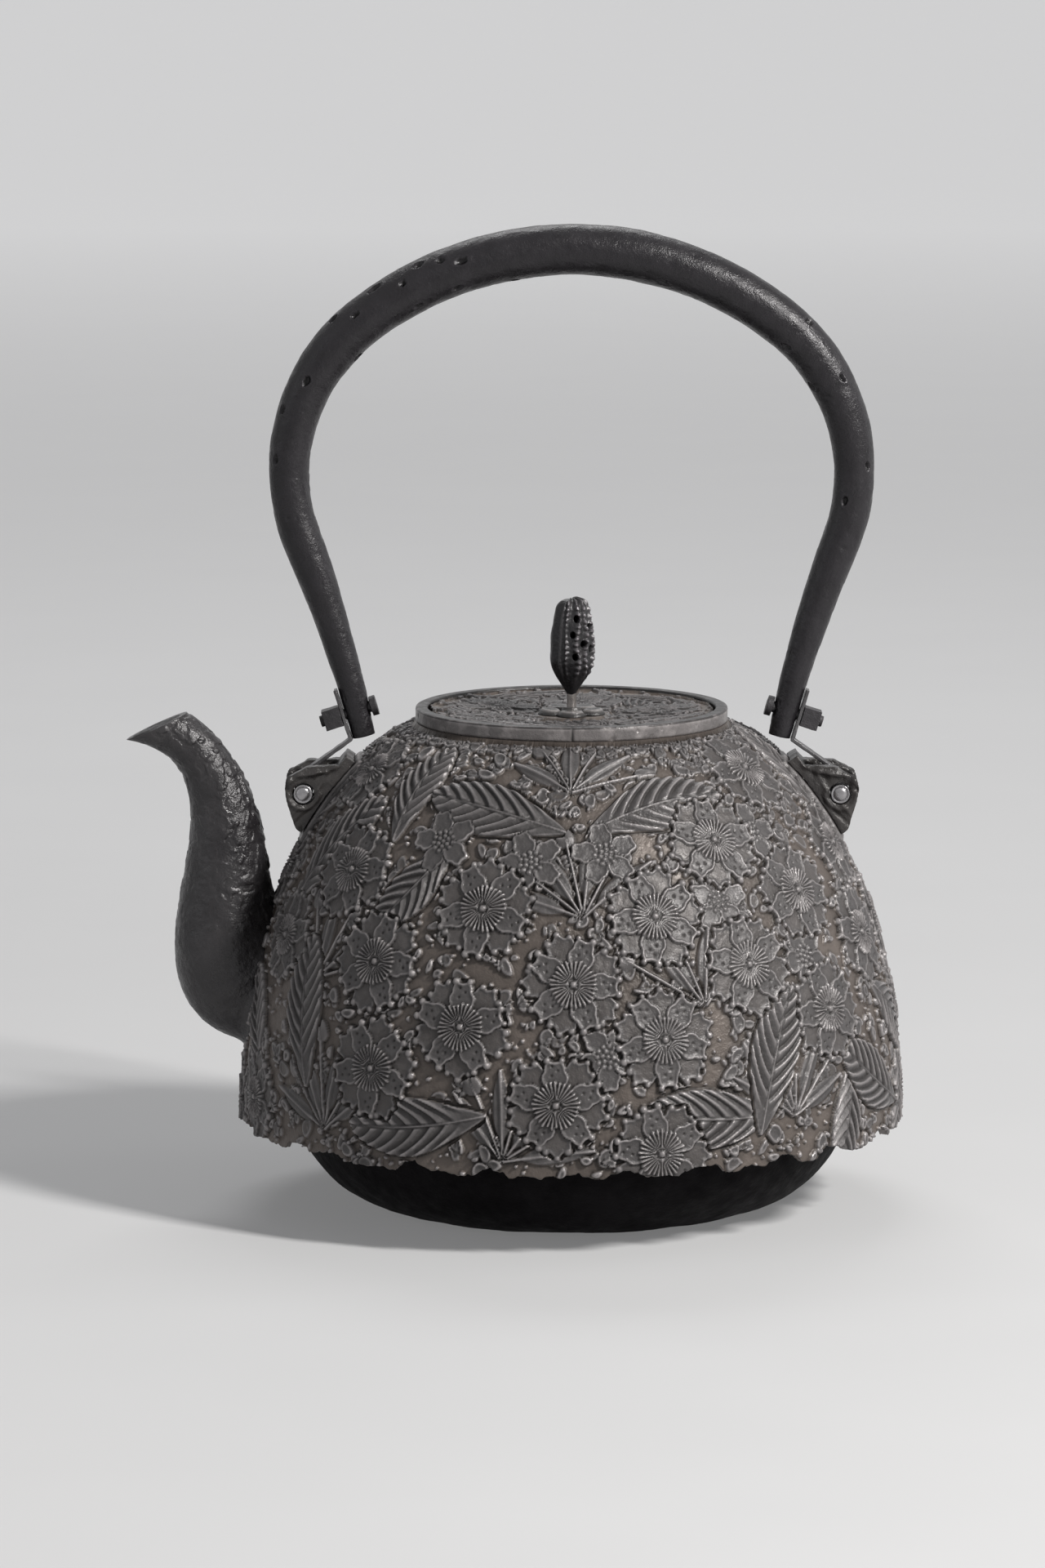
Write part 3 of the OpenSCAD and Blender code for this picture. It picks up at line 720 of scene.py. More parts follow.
def skirt_edge(turns):
    """Height of the torn edge above the skirt's lowest teeth."""
    bites, deepest = 26, 2.6
    edge = np.zeros_like(turns)
    for i in range(bites):
        r = 5 + 7 * spread(i)
        depth = deepest * (0.35 + 0.65 * spread(i + 50))
        centre = (i + 0.6 * spread(i + 90)) * TAU / bites + TAU / 4
        across = SKIRT_R * wrapped(turns - centre)
        edge = np.maximum(edge, depth - r + np.sqrt(np.maximum(r ** 2 - across ** 2, 0)))
    line = around(SKIRT_R, 0, turns)[0]
    crumbs = 0.9 * np.clip(rough(line, 6, 4, 7) + 0.2, 0, 2)
    return edge + (crumbs + 0.7 * np.clip(rough(line, 1.6, 2, 9), 0, 1.2))


def decorate(canvas, profile):
    """Stamps the whole dome: broken ground first, then sprays, leaves and blossoms."""
    length, arc_of = profile.length, profile.arc_of
    canvas.crumbs(3900, (0, length), 1.2, 3.2, plate=True)
    canvas.crumbs(4200, (0, length), 0.5, 1.0)
    taken = [(t, arc_of(h), 26) for t, h, _ in BLOSSOMS]
    taken += [(t, arc_of(h), 24) for t, h, *_ in LEAVES]
    taken += [(t, arc_of(h) + 12, 20) for t, h, _ in SPRAYS]
    flowers = scatter(taken, (6, length - 12), 25, profile)
    fill = scatter(taken + flowers, (8, length - 8), 15, profile)
    for i, (turn, at, _) in enumerate(fill):
        if i % 3 == 0:
            canvas.stamp(spray, turn, at - 10, 40 * (spread(i) - 0.5), 32, size=24, seed=i)
        elif i % 3 == 1:
            canvas.stamp(leaf, turn, at, 360 * spread(i), 22, length=33, width=6.4, veins=8)
        else:
            canvas.stamp(round_blossom, turn, at, 360 * spread(i), 11, seed=i)
    for i, (turn, height, spin) in enumerate(SPRAYS):
        canvas.stamp(spray, turn, arc_of(height), spin, 34, stems=7, seed=40 + i)
    for turn, height, spin, bend in LEAVES:
        canvas.stamp(leaf, turn, arc_of(height), spin, 24, bend=bend)
    for i, (turn, height, spin) in enumerate(ROUND_BLOSSOMS):
        canvas.stamp(round_blossom, turn, arc_of(height), spin, 11, seed=60 + i)
    for i, (turn, at, _) in enumerate(flowers):
        canvas.stamp(blossom, turn, at, 72 * spread(i + 9), 15, size=12.4, seed=i)
    for i, (turn, height, spin) in enumerate(BLOSSOMS):
        canvas.stamp(blossom, turn, arc_of(height), spin, 15, seed=80 + i)
    canvas.crumbs(150, (length - 4.5, length - 0.5), 1.4, 2.6, plate=True)
    canvas.crumbs(170, (length - 1.8, length), 1.2, 2.2, plate=True)


def inner_line(profile, ledge_z):
    """The inside's outline from the shoulder down to the skirt, over the bottom's ledge."""
    ledge_r, ledge_t, gap = bowl_high.x - 5, 3, 0.3
    seat = polyline([(COLLAR_R + COLLAR_STEP, SHOULDER_Z), (MOUTH_R, SHOULDER_Z),
                     (MOUTH_R, profile.z[-1] - WALL)], 1.0)[1:]
    r, z, out_r, out_z = profile.at(np.linspace(profile.length, 0, 90))
    inner = np.stack([r - WALL * out_r, z - WALL * out_z], -1)
    inner = inner[inner[:, 0] > MOUTH_R + 0.1]
    above = inner[inner[:, 1] > ledge_z + ledge_t + gap]
    below = inner[inner[:, 1] < ledge_z - gap]
    step = [(above[-1][0], ledge_z + ledge_t), (ledge_r, ledge_z + ledge_t),
            (ledge_r, ledge_z), (below[0][0], ledge_z)]
    return np.vstack([seat, above, step, below])


def body_shell():
    profile = Profile()
    columns = int(TAU * SKIRT_R / GRID)
    turns = circle(columns)
    even = np.linspace(0, profile.length, int(profile.length / GRID))
    edge = skirt_edge(turns)
    sheared = 14.0         # the rows below this lie closer together over a bite
    arc = even[:, None] + edge[None, :] * unit(1 - even[:, None] / sheared)
    r, z, out_r, out_z = profile.at(arc)
    points = around(r, z, turns)
    _, _, even_r, even_z = profile.at(even)
    canvas = Canvas(points, even, np.stack([-even_z, even_r], -1))
    decorate(canvas, profile)
    canvas.height *= ease((profile.length - even)[:, None] / 0.3 + 0.5)
    for turn in (90, -90):
        canvas.pad(turn, profile.arc_of(SHOULDER_Z - LUG_DROP), *LUG_FOOT)
    grain = 0.11 * rough(points, 3.0, 3, 11) + 0.05 * noise(points, 0.7, 15)
    drop = RELIEF - np.clip(canvas.height + grain, -0.3, RELIEF)
    outside = points - drop[..., None] * around(out_r, out_z, turns)

    ledge_z = bowl_high.z
    line = inner_line(profile, ledge_z)
    lining = around(*line.T, turns)
    foot = ease(1 - (line[:, 1] - SKIRT_Z)[:, None] / sheared)
    lining[..., 2] += edge[None, :] * foot * (line[:, 1] < ledge_z)[:, None]
    lining += (0.12 * rough(lining, 6, 3, 21))[..., None] * around(1, 0, turns)
    broken = []                             # the torn edge's own face
    for share in np.linspace(0, 1, 8)[1:-1]:
        ring = lining[-1] * (1 - share) + outside[0] * share
        broken.append(ring + 0.35 * rough(ring, 2.2, 3, 31)[:, None] * np.array([0, 0, 1]))
    layers = canvas.layers()
    crest = np.full((len(lining) + len(broken), columns), 0.42)
    crest[len(lining):] = 0.72
    return build("kettle_body", np.concatenate([outside, lining, np.array(broken)]),
                 relief=np.concatenate([layers["relief"], np.zeros(crest.shape)]),
                 crest=np.concatenate([layers["crest"], crest]))


# ---- turned pieces

def rounded(corners, radius, spacing):
    """A closed outline through the corners, each turned with a small arc."""
    corners = [np.asarray(c, float) for c in corners]
    points = []
    for before, corner, after in zip(corners[-1:] + corners, corners, corners[1:] + corners):
        sides = before - corner, after - corner
        lengths = [np.linalg.norm(side) for side in sides]
        reach = min(radius, *(length / 2.1 for length in lengths))
        start, end = (corner + side / length * reach for side, length in zip(sides, lengths))
        for t in (0, 0.25, 0.5, 0.75, 1):
            points.append((1 - t) ** 2 * start + 2 * t * (1 - t) * corner + t * t * end)
    return polyline([*points, points[0]], spacing)[:-1]


def turned(name, line, columns, wobble, seed):
    """An outline (radius, height) turned about Z, with cast unevenness."""
    turns = circle(columns)
    points = around(*line.T, turns)
    step = np.gradient(line, axis=0)
    step /= np.linalg.norm(step, axis=1)[:, None]
    out = around(step[:, 1], -step[:, 0], turns)
    points += (wobble * np.clip(rough(points, 9, 4, seed) - 1.0, -2, 0))[..., None] * out
    return build(name, points, capped=True)


def collar():
    inner = COLLAR_R - 3.5
    ledge = COLLAR_TOP - 2.5
    line = rounded([(MOUTH_R, SHOULDER_Z), (COLLAR_R, SHOULDER_Z), (COLLAR_R, COLLAR_TOP),
                    (inner, COLLAR_TOP), (inner, ledge), (MOUTH_R, ledge)], 0.7, 0.4)
    turns = circle(900)
    points = around(*line.T, turns)
    seam = bell(wrapped(turns) * COLLAR_R, 0.35)
    nicks = unit(rough(points, 2.2, 3, 44) - 0.75)
    outer = ease((points[..., :2] ** 2).sum(-1) ** 0.5 - COLLAR_R + 1.5)
    dent = 0.10 * rough(points, 8, 4, 41) - 0.12 - 0.22 * seam[None] - 0.6 * nicks
    points += (np.minimum(dent, 0) * outer)[..., None] * around(1, 0, turns)
    # The outer wall takes the lighter colour; the top and the inside take the darker one and, low
    # in crest, a near-black painted shade. The outer top corner is raised in crest as a painted
    # highlight; the seam is a darker line.
    wall = ease((COLLAR_TOP - 0.35 - points[..., 2]) / 0.5) * outer
    corner = bell(np.hypot(line[:, 0] - COLLAR_R, line[:, 1] - COLLAR_TOP), 0.7)[:, None]
    crest = 0.20 + 0.36 * wall + 0.45 * corner + 0.10 * rough(points, 3, 3, 47) - 0.4 * seam
    return build("collar_ring", points, relief=wall, crest=unit(crest))


def bottom_bowl():
    flat_r, corner, wall, lip, rim = 47.0, 30.0, 3.0, 3.0, 4.7
    bend = [(flat_r + corner * math.sin(a), corner * (1 - math.cos(a)))
            for a in np.linspace(0, math.pi / 2, 24)]
    inside = [(flat_r + (corner - wall) * math.sin(a), corner - (corner - wall) * math.cos(a))
              for a in np.linspace(math.pi / 2, 0, 24)]
    scar = [(10, 0.0), (10.6, 0.35)]          # where the casting gate was ground away
    line = polyline([(0.4, 0.0), *scar, (14, 0.4), (16, 0.0), *bend,
                     (bowl_high.x, bowl_high.z - lip), (bowl_high.x, bowl_high.z),
                     (bowl_high.x - rim, bowl_high.z), *inside, (0.4, wall)], 1.2)
    return turned("bottom", line, 360, 0.22, 51)


# ---- the spout

SPOUT_Z, SPOUT_SUNK = 56, 7.3           # the root's height, and its depth in the dome
SPOUT_ROOT = np.array([-(float(dome_r(SPOUT_Z)) - SPOUT_SUNK), SPOUT_Z])
SPOUT_PATH = SPOUT_ROOT + np.array([(0, 0), (-30, -2), (7, 62.2), (-31.4, 76.2)])
SPOUT_RADII = np.array([10, 22.5, 6, 6.8])


def bezier(p, t):
    t = t.reshape(-1, *([1] * (p.ndim - 1)))
    s = 1 - t
    return s ** 3 * p[0] + 3 * s ** 2 * t * p[1] + 3 * s * t * t * p[2] + t ** 3 * p[3]


def near_outlet(t):
    """0 along the spout's path, rising to 1 at its outlet."""
    return unit((t - 0.7) / 0.3)


def spout_rings(t, inset, turns):
    """Rings round the spout's path, inset from its skin, that slant near the outlet."""
    centre, radius = bezier(SPOUT_PATH, t), bezier(SPOUT_RADII, t) - inset
    ahead = np.gradient(centre, axis=0)
    ahead /= np.linalg.norm(ahead, axis=1)[:, None]
    slant = math.radians(45) * near_outlet(t) ** 2
    nx = ahead[:, 0] * np.sin(slant) - ahead[:, 1] * np.cos(slant)
    nz = ahead[:, 0] * np.cos(slant) + ahead[:, 1] * np.sin(slant)
    long = (radius / np.cos(slant))[:, None] * np.cos(turns)
    return np.stack([centre[:, :1] + long * nx[:, None], -radius[:, None] * np.sin(turns),
                     centre[:, 1:] + long * nz[:, None]], -1)


def spout():
    turns, rows, room = circle(320), 420, 0.25       # room for the casting's lumps
    t = np.linspace(0, 1, rows)
    outside = spout_rings(t, room, turns)
    wall = 2.35 - 0.95 * near_outlet(t)
    inside = spout_rings(t[::-1], (wall + room)[::-1], turns)
    out = outside - bezier(SPOUT_PATH, t)[:, None, [0, 0, 1]] * np.array([1, 0, 1])
    out /= np.linalg.norm(out, axis=-1, keepdims=True)
    apart = np.hypot(outside[..., 0], outside[..., 1]) - dome_r(outside[..., 2])
    fillet = 2.6 * np.exp(-np.clip(apart + RELIEF, 0, 30) / 2.2)
    flaky = ease((outside[..., 2] - 66) / 30)        # flaked scale on the upper part
    flaky = flaky * (0.55 + 0.45 * ease(0.5 - np.cos(turns)[None] * 0.8))
    flakes = 0.34 * ease(rough(outside, 5.5, 3, 61) / 0.22 + 0.3)
    flakes += 0.24 * ease(rough(outside, 2.6, 2, 64) / 0.3)
    grain = 0.06 * rough(outside, 1.2, 2, 66) + 0.12 * rough(outside, 14, 2, 69)
    calm = 0.12 * rough(outside, 4, 3, 71)
    lump = fillet - 0.42 + flaky * flakes + (1 - flaky) * calm + grain
    near_lip = ease((1 - t) / 0.02)[:, None]
    outside = outside + (lump * near_lip - 0.15 * (1 - near_lip))[..., None] * out
    lip = (outside[-1] + inside[0]) / 2 + 0.25 * out[-1]
    points = np.concatenate([outside, lip[None], inside])
    piece = build("spout_casting", points)
    z = np.linspace(SKIRT_Z, SHOULDER_Z, 60)
    line = np.stack([dome_r(z) - 2.7, z], -1)
    cut(piece, turned("spout_trim", line, 256, 0, 0))
    return piece


def spout_port():
    """The rod that opens the port through the body behind the spout."""
    rod_r, rod_z, turns = 7.5, 58, circle(64)
    y, z = -rod_r * np.sin(turns), rod_z + rod_r * np.cos(turns)
    ends = [np.stack([np.full_like(y, x), y, z], -1) for x in (-SKIRT_R - 8, -SKIRT_R / 1.5)]
    return build("spout_port", np.array(ends), capped=True)


# ---- the lid and its knob

def lid_top(r):
    return COLLAR_TOP - LID_DISH * (1 - (np.asarray(r) / LID_R) ** 2)


LID_BLOSSOMS = (-62, 22, 100, 172, 238)         # turns


def lid():
    turns = circle(840)
    edge_t, flange_r, flange_z, lid_t = 2.4, MOUTH_R - 0.6, lid_low.z, 2.2
    under_r = np.linspace(KNOB_HOLE_R, flange_r - 2, 40)
    under = np.stack([under_r, lid_top(under_r) - lid_t], -1)
    rim = polyline([under[-1], (flange_r - 2, flange_z), (flange_r, flange_z),
                    (flange_r, COLLAR_TOP - edge_t), (LID_R, COLLAR_TOP - edge_t),
                    (LID_R, COLLAR_TOP - 0.5)], 0.5)[1:]
    top_r = np.linspace(LID_R - 0.12, KNOB_HOLE_R, int(LID_R / GRID))
    lower = around(*np.vstack([under, rim]).T, turns)
    top = around(top_r, lid_top(top_r), turns)
    canvas = Canvas(top, LID_R - top_r, [(-1, 0)] * len(top_r))
    canvas.crumbs(330, (0, LID_R - 10), 1.0, 2.4, plate=True)
    canvas.crumbs(300, (0, LID_R - 10), 0.5, 0.95)
    for k, turn in enumerate(LID_BLOSSOMS):
        canvas.stamp(spray, turn + 34, 3, 12, 26, size=19, stems=5, seed=200 + k)
        canvas.stamp(leaf, turn + 38, 12, 168 - 25 * (k % 2), 18, length=28, width=5.6, veins=8)
    for k, turn in enumerate(LID_BLOSSOMS):
        canvas.stamp(blossom, turn, 15 + 2 * (k % 2), 30 * k, 14, size=11.6, seed=210 + k)
        canvas.stamp(round_blossom, turn + 66, 9 + 9 * (k % 2), 20 * k, 9, size=7, seed=220 + k)
    grain = 0.10 * rough(top, 3, 3, 81) + 0.05 * noise(top, 0.8, 84)
    seated = ease((top_r[:, None] - SEAT_R) / 1.5)      # the plate under the knob stays full
    top[..., 2] -= seated * (LID_RELIEF - np.clip(0.80 * canvas.height + grain, -0.3, LID_RELIEF))
    top[0, :, 2] = np.maximum(top[0, :, 2], COLLAR_TOP - LID_RELIEF)
    plain = {"relief": 0.5, "crest": 0.45}
    layers = {key: np.concatenate([np.full(lower.shape[:2], plain[key]), value])
              for key, value in canvas.layers().items()}
    points = np.concatenate([lower, top])
    radius = np.hypot(points[..., 0], points[..., 1])
    teeth = np.clip(0.45 + 0.9 * rough(top[0], 3.2, 3, 85), 0, 1.3)[None]
    points[..., :2] *= (1 - teeth * ease((radius - LID_R + 2.2) / 2) / radius)[..., None]
    return build("lid_casting", points, **layers)


def knob_seat():
    """A plum blossom plate whose five cupped petals stand round a boss."""
    columns, width, petal_r = 420, 19.0, 0.21
    cup_at, cup_long, cup_wide, boss_r = (share * width for share in (0.325, 0.155, 0.185, 0.17))
    turns = circle(columns)
    reach = np.full(columns, 0.30 * width)
    middle, r = width * (0.5 - petal_r), petal_r * width
    for k in range(5):
        off = wrapped(turns - k * TAU / 5)
        across = middle * np.sin(off)
        out = middle * np.cos(off) + np.sqrt(np.maximum(r * r - across ** 2, 0))
        facing = (np.abs(across) < r) & (np.cos(off) > 0)
        reach = np.where(facing, np.maximum(reach, out), reach)
    low, high = seat_low.z, seat_high.z - seat_low.z
    share = np.linspace(1, 0, 110)[:, None] ** 0.9
    r = KNOB_HOLE_R + (reach[None] - KNOB_HOLE_R) * share
    off = turns - np.round(turns / TAU * 5) * TAU / 5
    x, y = r * np.cos(off) - cup_at, r * np.sin(off)
    oval = np.hypot(x / cup_long, y / cup_wide)
    cup = 0.62 * ease((1.12 - oval) / 0.42) * (0.92 + 0.10 * x / cup_long)
    cup -= 0.20 * bell(oval, 0.5)
    boss = 0.95 * ease((boss_r - r) / 1.3)
    rise = 0.28 + np.maximum(cup, boss)
    z = low + high * unit(rise) * ease((1 - share) / 0.05 + 0.42)
    z -= 0.10 * unit(rough(np.stack([x, y, z], -1), 2, 3, 91))
    top = around(r, np.clip(z, low + 0.2, seat_high.z), turns)
    base_r = KNOB_HOLE_R + (reach[None] - KNOB_HOLE_R) * np.array([[0.0], [0.5], [1.0]])
    # The cups' rims and the boss are raised in crest and painted bright, partly a painted
    # highlight; the rest of the seat, low in crest, takes painted shade.
    crest = unit(0.18 + 0.75 * bell(oval - 0.80, 0.16) + 0.35 * boss)
    crest = np.concatenate([np.full(base_r.shape, 0.4), crest])
    points = np.concatenate([around(base_r, low, turns), top])
    return build("seat_blossom", points, relief=np.ones_like(crest), crest=crest)


def bud_r(t):
    """The knob's radius by its height, both as shares of the greatest."""
    foot, widest_at = 0.24, 0.4
    swell = foot + (1 - foot) * np.sin(math.pi / 2 * np.minimum(1, t / widest_at)) ** 1.3
    blunt = 1 - 0.14 * ((t - widest_at) / 0.5) ** 2 - 0.7 * unit((t - 0.86) / 0.14) ** 3
    return np.where(t < widest_at, swell, blunt)


# The beaded ribs on one side of the knob, in degrees from the front.
KNOB_RIBS = (-14, 24, 50, 84, 112, 140)
# Holes between them: degrees from the front, share of the height, and radius.
KNOB_HOLES = [
    (16, 0.79, 0.9), (3, 0.64, 0.8), (36, 0.55, 0.9), (10, 0.43, 0.8), (68, 0.70, 0.9),
    (66, 0.50, 0.8), (98, 0.62, 0.9), (126, 0.74, 0.8), (128, 0.48, 0.8)
]


def knob():
    """A bud with beaded ribs and pierced holes on one side, smooth on the other."""
    turns = circle(360)
    t = np.linspace(0, 1, 400)
    high = knob_high.z - knob_low.z
    slim = 1 - 0.13 * ease((t - 0.62) / 0.38) - 0.05 * ease((0.36 - t) / 0.3)
    radius = knob_high.x * bud_r(t) * slim
    across, up = np.meshgrid(wrapped(np.degrees(turns), 360), t * high)
    beaded = ease((across + 22) / 8) * ease((152 - across) / 16)
    beaded = beaded * ease((up - 5) / 4) * ease((high - up) / 2.5)
    swirl = across + 8 * np.sin(up / high * 3.2)
    rib, beads = np.zeros_like(up), np.zeros_like(up)
    for k, place in enumerate(KNOB_RIBS):
        off = (swirl - place - 4 * np.sin(up * 0.55 + 2 * k)) / 7.5
        rib = np.maximum(rib, bell(off))
        lump = 0.5 + 0.5 * np.cos(up * TAU / (1.5 + 0.15 * k) + 2.2 * k)
        beads = np.maximum(beads, lump * bell(off))
    relief = beaded * (0.62 * rib + 0.55 * beads - 0.10)
    wrap = 0.55 * bell(swirl + 27, 5) * ease((up - 4) / 4)
    fold = 0.26 * np.cos(np.radians(swirl) * 5) * (1 - beaded) * ease((up - 3) / 5)
    holes = np.zeros_like(up)
    for side, level, size in KNOB_HOLES:
        off = np.hypot(np.radians(across - side) * knob_high.x, up - level * high)
        holes = np.maximum(holes, 1 - ease((off - size + 0.2) / 0.45))
    lumps = 0.12 * rough(around(radius, t * high, turns), 3, 3, 95)
    shape = np.clip(radius[:, None] - 0.95 + relief + wrap + fold + lumps, 0.9, radius[:, None])
    shape = shape * (ease((1 - t) / 0.05) ** 0.5)[:, None] - 3.2 * holes
    tip = 0.6 * rib * (ease((t - 0.9) / 0.07) * ease((1 - t) / 0.02))[:, None]
    tip -= 1.1 * bell(1 - t, 0.025)[:, None]
    points = around(np.maximum(shape, 0.35), (up + tip).clip(0, high) + knob_low.z, turns)
    # Beads and ribs are raised in crest and painted bright, partly a painted highlight; the holes
    # drop to the darkest colour, a painted shade.
    crest = unit(0.20 + beaded * (0.30 * rib + 0.55 * beads) - holes + 0.4 * wrap)
    return build("knob_bud", points, capped=True, relief=1 - holes, crest=crest)


# ---- the bail

def bail_stations():
    """The bail's centre line from the crown to the right leg's end, as the part has it:
    x, z, turn and radius at even steps."""
    crown_d, side_d, end_d = 14.5, 11.3, 6.4
    shoulder_r, lean, rise, wide_rise, half_w = 52.0, 21.0, 149.0, 88.0, 77.4
    pin = np.array([PIN_X, PIN_Z])
    crown_z, wide_z, shoulder_x = pin[1] + rise, pin[1] + wide_rise, half_w - shoulder_r
    drop = crown_z - wide_z
    crown_r = (shoulder_x ** 2 + drop ** 2 - shoulder_r ** 2) / (2 * (drop - shoulder_r))
    crown_turn = math.atan2(shoulder_x, wide_z - crown_z + crown_r)
    end = pin + np.array([-16.6, 15.0])
    lean = math.radians(lean)
    start = np.array([shoulder_x + shoulder_r * math.cos(lean),
                      wide_z - shoulder_r * math.sin(lean)])
    chord = end - start
    first = math.pi / 2 + lean
    last = 2 * math.atan2(-chord[1], chord[0]) - first
    leg_r = np.linalg.norm(chord) / (2 * math.sin((last - first) / 2))

    def thick(a):
        return crown_d / 2 - (crown_d - side_d) / 2 * np.minimum(1, a / (math.pi / 2)) ** 1.5

    def arc(x, z, r, a, radius):
        return np.stack([x + r * np.sin(a), z + r * np.cos(a), a, radius], -1)

    a = np.linspace(0, crown_turn, 90, endpoint=False)
    crown = arc(0, crown_z - crown_r, crown_r, a, thick(a))
    a = np.linspace(crown_turn, first, 160, endpoint=False)
    shoulder = arc(shoulder_x, wide_z, shoulder_r, a, thick(a))
    s = np.linspace(0, 1, 150)
    x, z = start[0] - leg_r * math.sin(first), start[1] - leg_r * math.cos(first)
    thin = side_d / 2 + (end_d - side_d) / 2 * s ** 1.15
    return np.vstack([crown, shoulder, arc(x, z, leg_r, first + (last - first) * s, thin)])


# Places of the worm-eaten pits along the bail: share of the half arch from the crown
# (negative to the left), degrees round the tube from its outer side, and size.
PITS = [
    (-0.16, -70, 1.6), (-0.19, -50, 1.2), (-0.22, -36, 1.5), (-0.25, -60, 1.0), (-0.29, -30, 1.8),
    (-0.33, -62, 1.1), (-0.36, -24, 1.2), (-0.45, -75, 1.5), (-0.50, -40, 1.0), (-0.57, -48, 1.1),
    (0.36, -35, 1.3), (0.45, -60, 1.0), (0.58, -50, 1.1)
]


def bail():
    half = bail_stations()
    line = np.vstack([half[:0:-1] * np.array([-1, 1, -1, 1]), half])
    turns = circle(120)
    x, z, a, radius = (column[:, None] for column in line.T)
    flat = np.zeros(len(line))[:, None]
    out = np.stack([np.sin(a), flat, np.cos(a)], -1)
    side = np.array([0.0, 1.0, 0.0])
    ring = np.cos(turns)[None, :, None] * out + np.sin(turns)[None, :, None] * side
    centre = np.stack([x, flat, z], -1)
    skin = centre + radius[..., None] * ring
    forged = 0.13 * rough(skin, 16, 3, 101) + 0.06 * rough(skin, 5, 3, 105)
    scale = 0.06 * ease(rough(skin, 2.4, 3, 108) / 0.25)
    nicks = 0.6 * np.clip(rough(skin, 2.6, 3, 112) - 0.95, 0, 0.8)
    dent = np.maximum(0.20 - forged, 0) + scale + nicks
    arc = run(*line.T[:2])
    arc -= arc[-1] / 2
    pits = list(PITS)
    for _ in range(26):
        pits.append((rng.uniform(-0.8, 0.8), rng.uniform(20, 250), rng.uniform(0.7, 1.5)))
    warp = 0.75 * rough(skin, 2.0, 3, 115)
    pit = np.zeros(skin.shape[:2])
    for i, (share, turn, size) in enumerate(pits):
        along = (arc[:, None] - share * arc[-1]) / (1.2 + 0.8 * spread(i))
        across = wrapped(np.degrees(turns)[None] - turn, 360) * math.pi / 180 * radius
        off = np.hypot(along + 0.3 * across * (spread(i + 7) - 0.5), across) + warp * 0.6
        pit = np.maximum(pit, 1 - ease((off - 0.46 * size) / 0.40))
        dent = np.maximum(dent - 0.14 * bell(off - 0.52 * size - 0.45, 0.35), 0)     # raised rim
    dent = dent + pit
    points = centre + (radius - dent)[..., None] * ring
    # Dents and pits fall in crest and take painted shade; the pits also take the darker ground
    # colour as painted shade.
    crest = unit(0.55 - 0.25 * (dent - softened(dent, 6)))
    return build("bail_arch", points, capped=True, relief=1 - pit, crest=crest)


# ---- small pieces, worked up from the CAD shapes

def from_pin(place):
    """How far points are outward from and above the axis of their side's cross pin."""
    return np.abs(place[:, 0]) - PIN_X, place[:, 2] - PIN_Z


def carved_lug(place, normal):
    """A brow over the pin, a nose at the outer end and a raised ring round the pin's hole."""
    x, z = from_pin(place)

    def line(height, lean, width, start, end):
        return bell(z - height - lean * x, width) * ease((x - start) / 2) * ease((end - x) / 2)

    def spot(at_x, at_z, r):
        return bell(np.hypot(x - at_x, z - at_z), r)

    ring = bell(np.hypot(x, z) - 4.3, 0.65) * ease((3.0 - z) / 3)
    push = 0.75 * line(5.3, -0.12, 0.8, -8, 3) - 0.55 * line(3.6, -0.3, 0.9, -9.5, -2.6)
    push += 0.9 * spot(4.0, 3.6, 1.7) - 0.7 * spot(4.4, 1.3, 0.8) + 0.45 * ring
    push += 0.40 * line(-2.5, -1.0, 0.9, -6, 4) - 0.35 * line(-6.2, -0.9, 0.8, -6, 5)
    push += 0.35 * line(0.6, -0.75, 0.8, -12, -4.5)
    return push * ease((np.abs(normal[:, 1]) - 0.5) / 0.3)


def domed_pin(place, normal):
    """Ends hammered into domes."""
    share = np.hypot(*from_pin(place)) / PIN_R
    return -0.9 * unit(share) ** 2.4 * ease((np.abs(normal[:, 1]) - 0.4) / 0.4)


def worked(name, node, voxel, soften, lump, size, seed, carve=None):
    """The CAD shape with its edges worn round and its faces uneven, by lumps lump mm
    high and about size mm across."""
    piece = add(name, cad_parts[node].data.copy())
    weld = piece.modifiers.new("weld", "WELD")
    weld.merge_threshold = 0.00001
    remesh = piece.modifiers.new("remesh", "REMESH")
    remesh.mode = "VOXEL"
    remesh.voxel_size = voxel * MM
    remesh.use_smooth_shade = True
    smooth = piece.modifiers.new("smooth", "SMOOTH")
    smooth.factor = 0.5
    smooth.iterations = soften
    settle(piece)
    mesh = piece.data
    place, normal = np.zeros((2, len(mesh.vertices), 3), np.float32)
    mesh.vertices.foreach_get("co", place.ravel())
    mesh.vertices.foreach_get("normal", normal.ravel())
    place = place.astype(float)
    push = np.clip(lump * rough(place / MM, size, 3, seed) - 0.6 * lump, -2 * lump, 0)
    if carve:
        push += carve(place / MM, normal)
    place += push[:, None] * MM * normal
    mesh.vertices.foreach_set("co", place.astype(np.float32).ravel())
    mesh.update()
    return piece


# ---- what is shown

make_camera()
make_lights()
make_world()
make_stage()

BODY_IRON = relief_iron("body_iron", (0.134, 0.112, 0.099), (0.092, 0.086, 0.086),
                        (0.008, 0.006, 0.005), shine=0.4)
LID_IRON = relief_iron("lid_iron", (0.135, 0.112, 0.098), (0.052, 0.048, 0.048),
                       (0.008, 0.006, 0.006), shine=0.4)
BAIL_IRON = relief_iron("bail_iron", (0.008, 0.007, 0.008), (0.021, 0.019, 0.022),
                        (0.008, 0.007, 0.008), (0.20, 0.46), 0.45)
COLLAR_IRON = relief_iron("collar_iron", (0.050, 0.045, 0.045), (0.170, 0.157, 0.155),
                          (0.010, 0.009, 0.009), (0.22, 0.44))
KNOB_IRON = relief_iron("knob_metal", (0.010, 0.009, 0.011), (0.060, 0.056, 0.060),
                        (0.006, 0.006, 0.007), (0.16, 0.38))
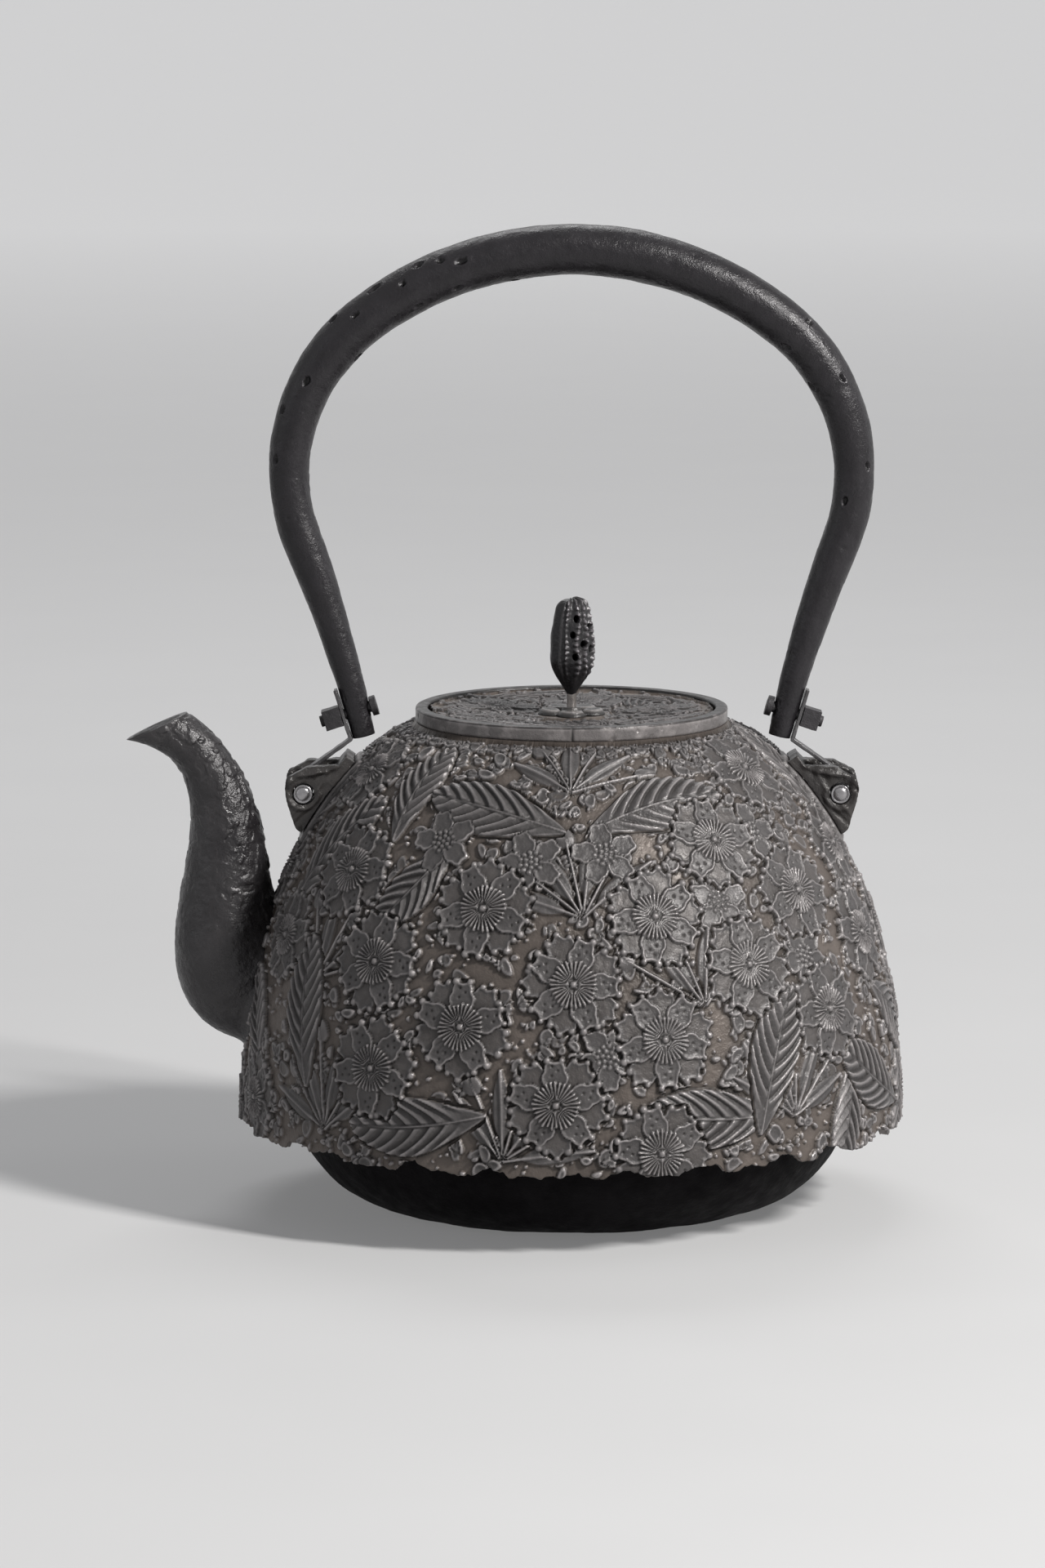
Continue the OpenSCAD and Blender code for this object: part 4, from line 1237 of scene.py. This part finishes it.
SEAT_IRON = relief_iron("seat_iron", (0.030, 0.027, 0.027), (0.085, 0.080, 0.079),
                        (0.010, 0.009, 0.009), (0.22, 0.44))
SPOUT_IRON = iron("spout_iron", (0.022, 0.020, 0.022), (0.050, 0.047, 0.049), (0.20, 0.44))
BOTTOM_IRON = iron("bottom_iron", (0.004, 0.0035, 0.004), (0.009, 0.008, 0.009), (0.60, 0.85),
                   shine=0.08)
LUG_IRON = iron("lug_iron", (0.022, 0.020, 0.020), (0.058, 0.053, 0.051), (0.22, 0.46))
STRAP_IRON = iron("strap_iron", (0.060, 0.057, 0.060), (0.150, 0.146, 0.150), (0.25, 0.48),
                  metal=0.7)
BOLT_IRON = iron("bolt_iron", (0.018, 0.017, 0.019), (0.045, 0.042, 0.046), (0.35, 0.6))
WASHER_IRON = iron("washer_iron", (0.040, 0.037, 0.038), (0.090, 0.084, 0.084), (0.30, 0.55))
PIN_STEEL = iron("pin_steel", (0.24, 0.235, 0.24), (0.42, 0.41, 0.42), (0.20, 0.34), 0.00003, 0.9)
BRASS = iron("pin_brass", (0.34, 0.31, 0.29), (0.56, 0.53, 0.52), (0.26, 0.42), 0.00003, 0.9)

# Piece, node, material and body; then voxel, softening, lumps, their size, seed and carving.
WORKED = [
    ("lug_casting", "lug", LUG_IRON, "kettle", 0.3, 8, 0.26, 4, 130, carved_lug),
    ("pin_forged", "cross_pin", PIN_STEEL, "kettle", 0.16, 8, 0.02, 3, 140, domed_pin),
    ("strap_forged", "strap", STRAP_IRON, "bail", 0.16, 2, 0.10, 3, 150, None),
    ("nut_forged", "strap_nut", BOLT_IRON, "bail", 0.14, 3, 0.08, 2, 160, None),
    ("bolt_forged", "strap_bolt", BOLT_IRON, "bail", 0.14, 3, 0.05, 2, 170, None)
]

shell = body_shell()
cut(shell, spout_port())
finish(shell, BODY_IRON, "kettle", "body_shell")
finish(bottom_bowl(), BOTTOM_IRON, "kettle", "bottom_bowl")
finish(spout(), SPOUT_IRON, "kettle", "spout")
finish(collar(), COLLAR_IRON, "kettle", "mouth_collar")
finish(lid(), LID_IRON, "lid", "lid_disc")
finish(knob_seat(), SEAT_IRON, "lid", "knob_seat")
finish(knob(), KNOB_IRON, "lid", "knob")
finish(bail(), BAIL_IRON, "bail", "bail_tube")
for i, side in enumerate(("_left", "_right")):
    for name, node, paint, body, *how, seed, carve in WORKED:
        piece = worked(name + side, node + side, *how, seed + i, carve)
        finish(piece, paint, body, node + side)
pin = worked("pin_drawn", "knob_pin", 0.12, 5, 0.01, 3, 180)
finish(pin, BRASS, "lid", "knob_pin")
washer = worked("washer_cut", "knob_washer", 0.14, 2, 0.04, 2, 190)
finish(washer, WASHER_IRON, "lid", "knob_washer", "seat_iron")

bpy.context.scene.view_settings.view_transform = "Standard"
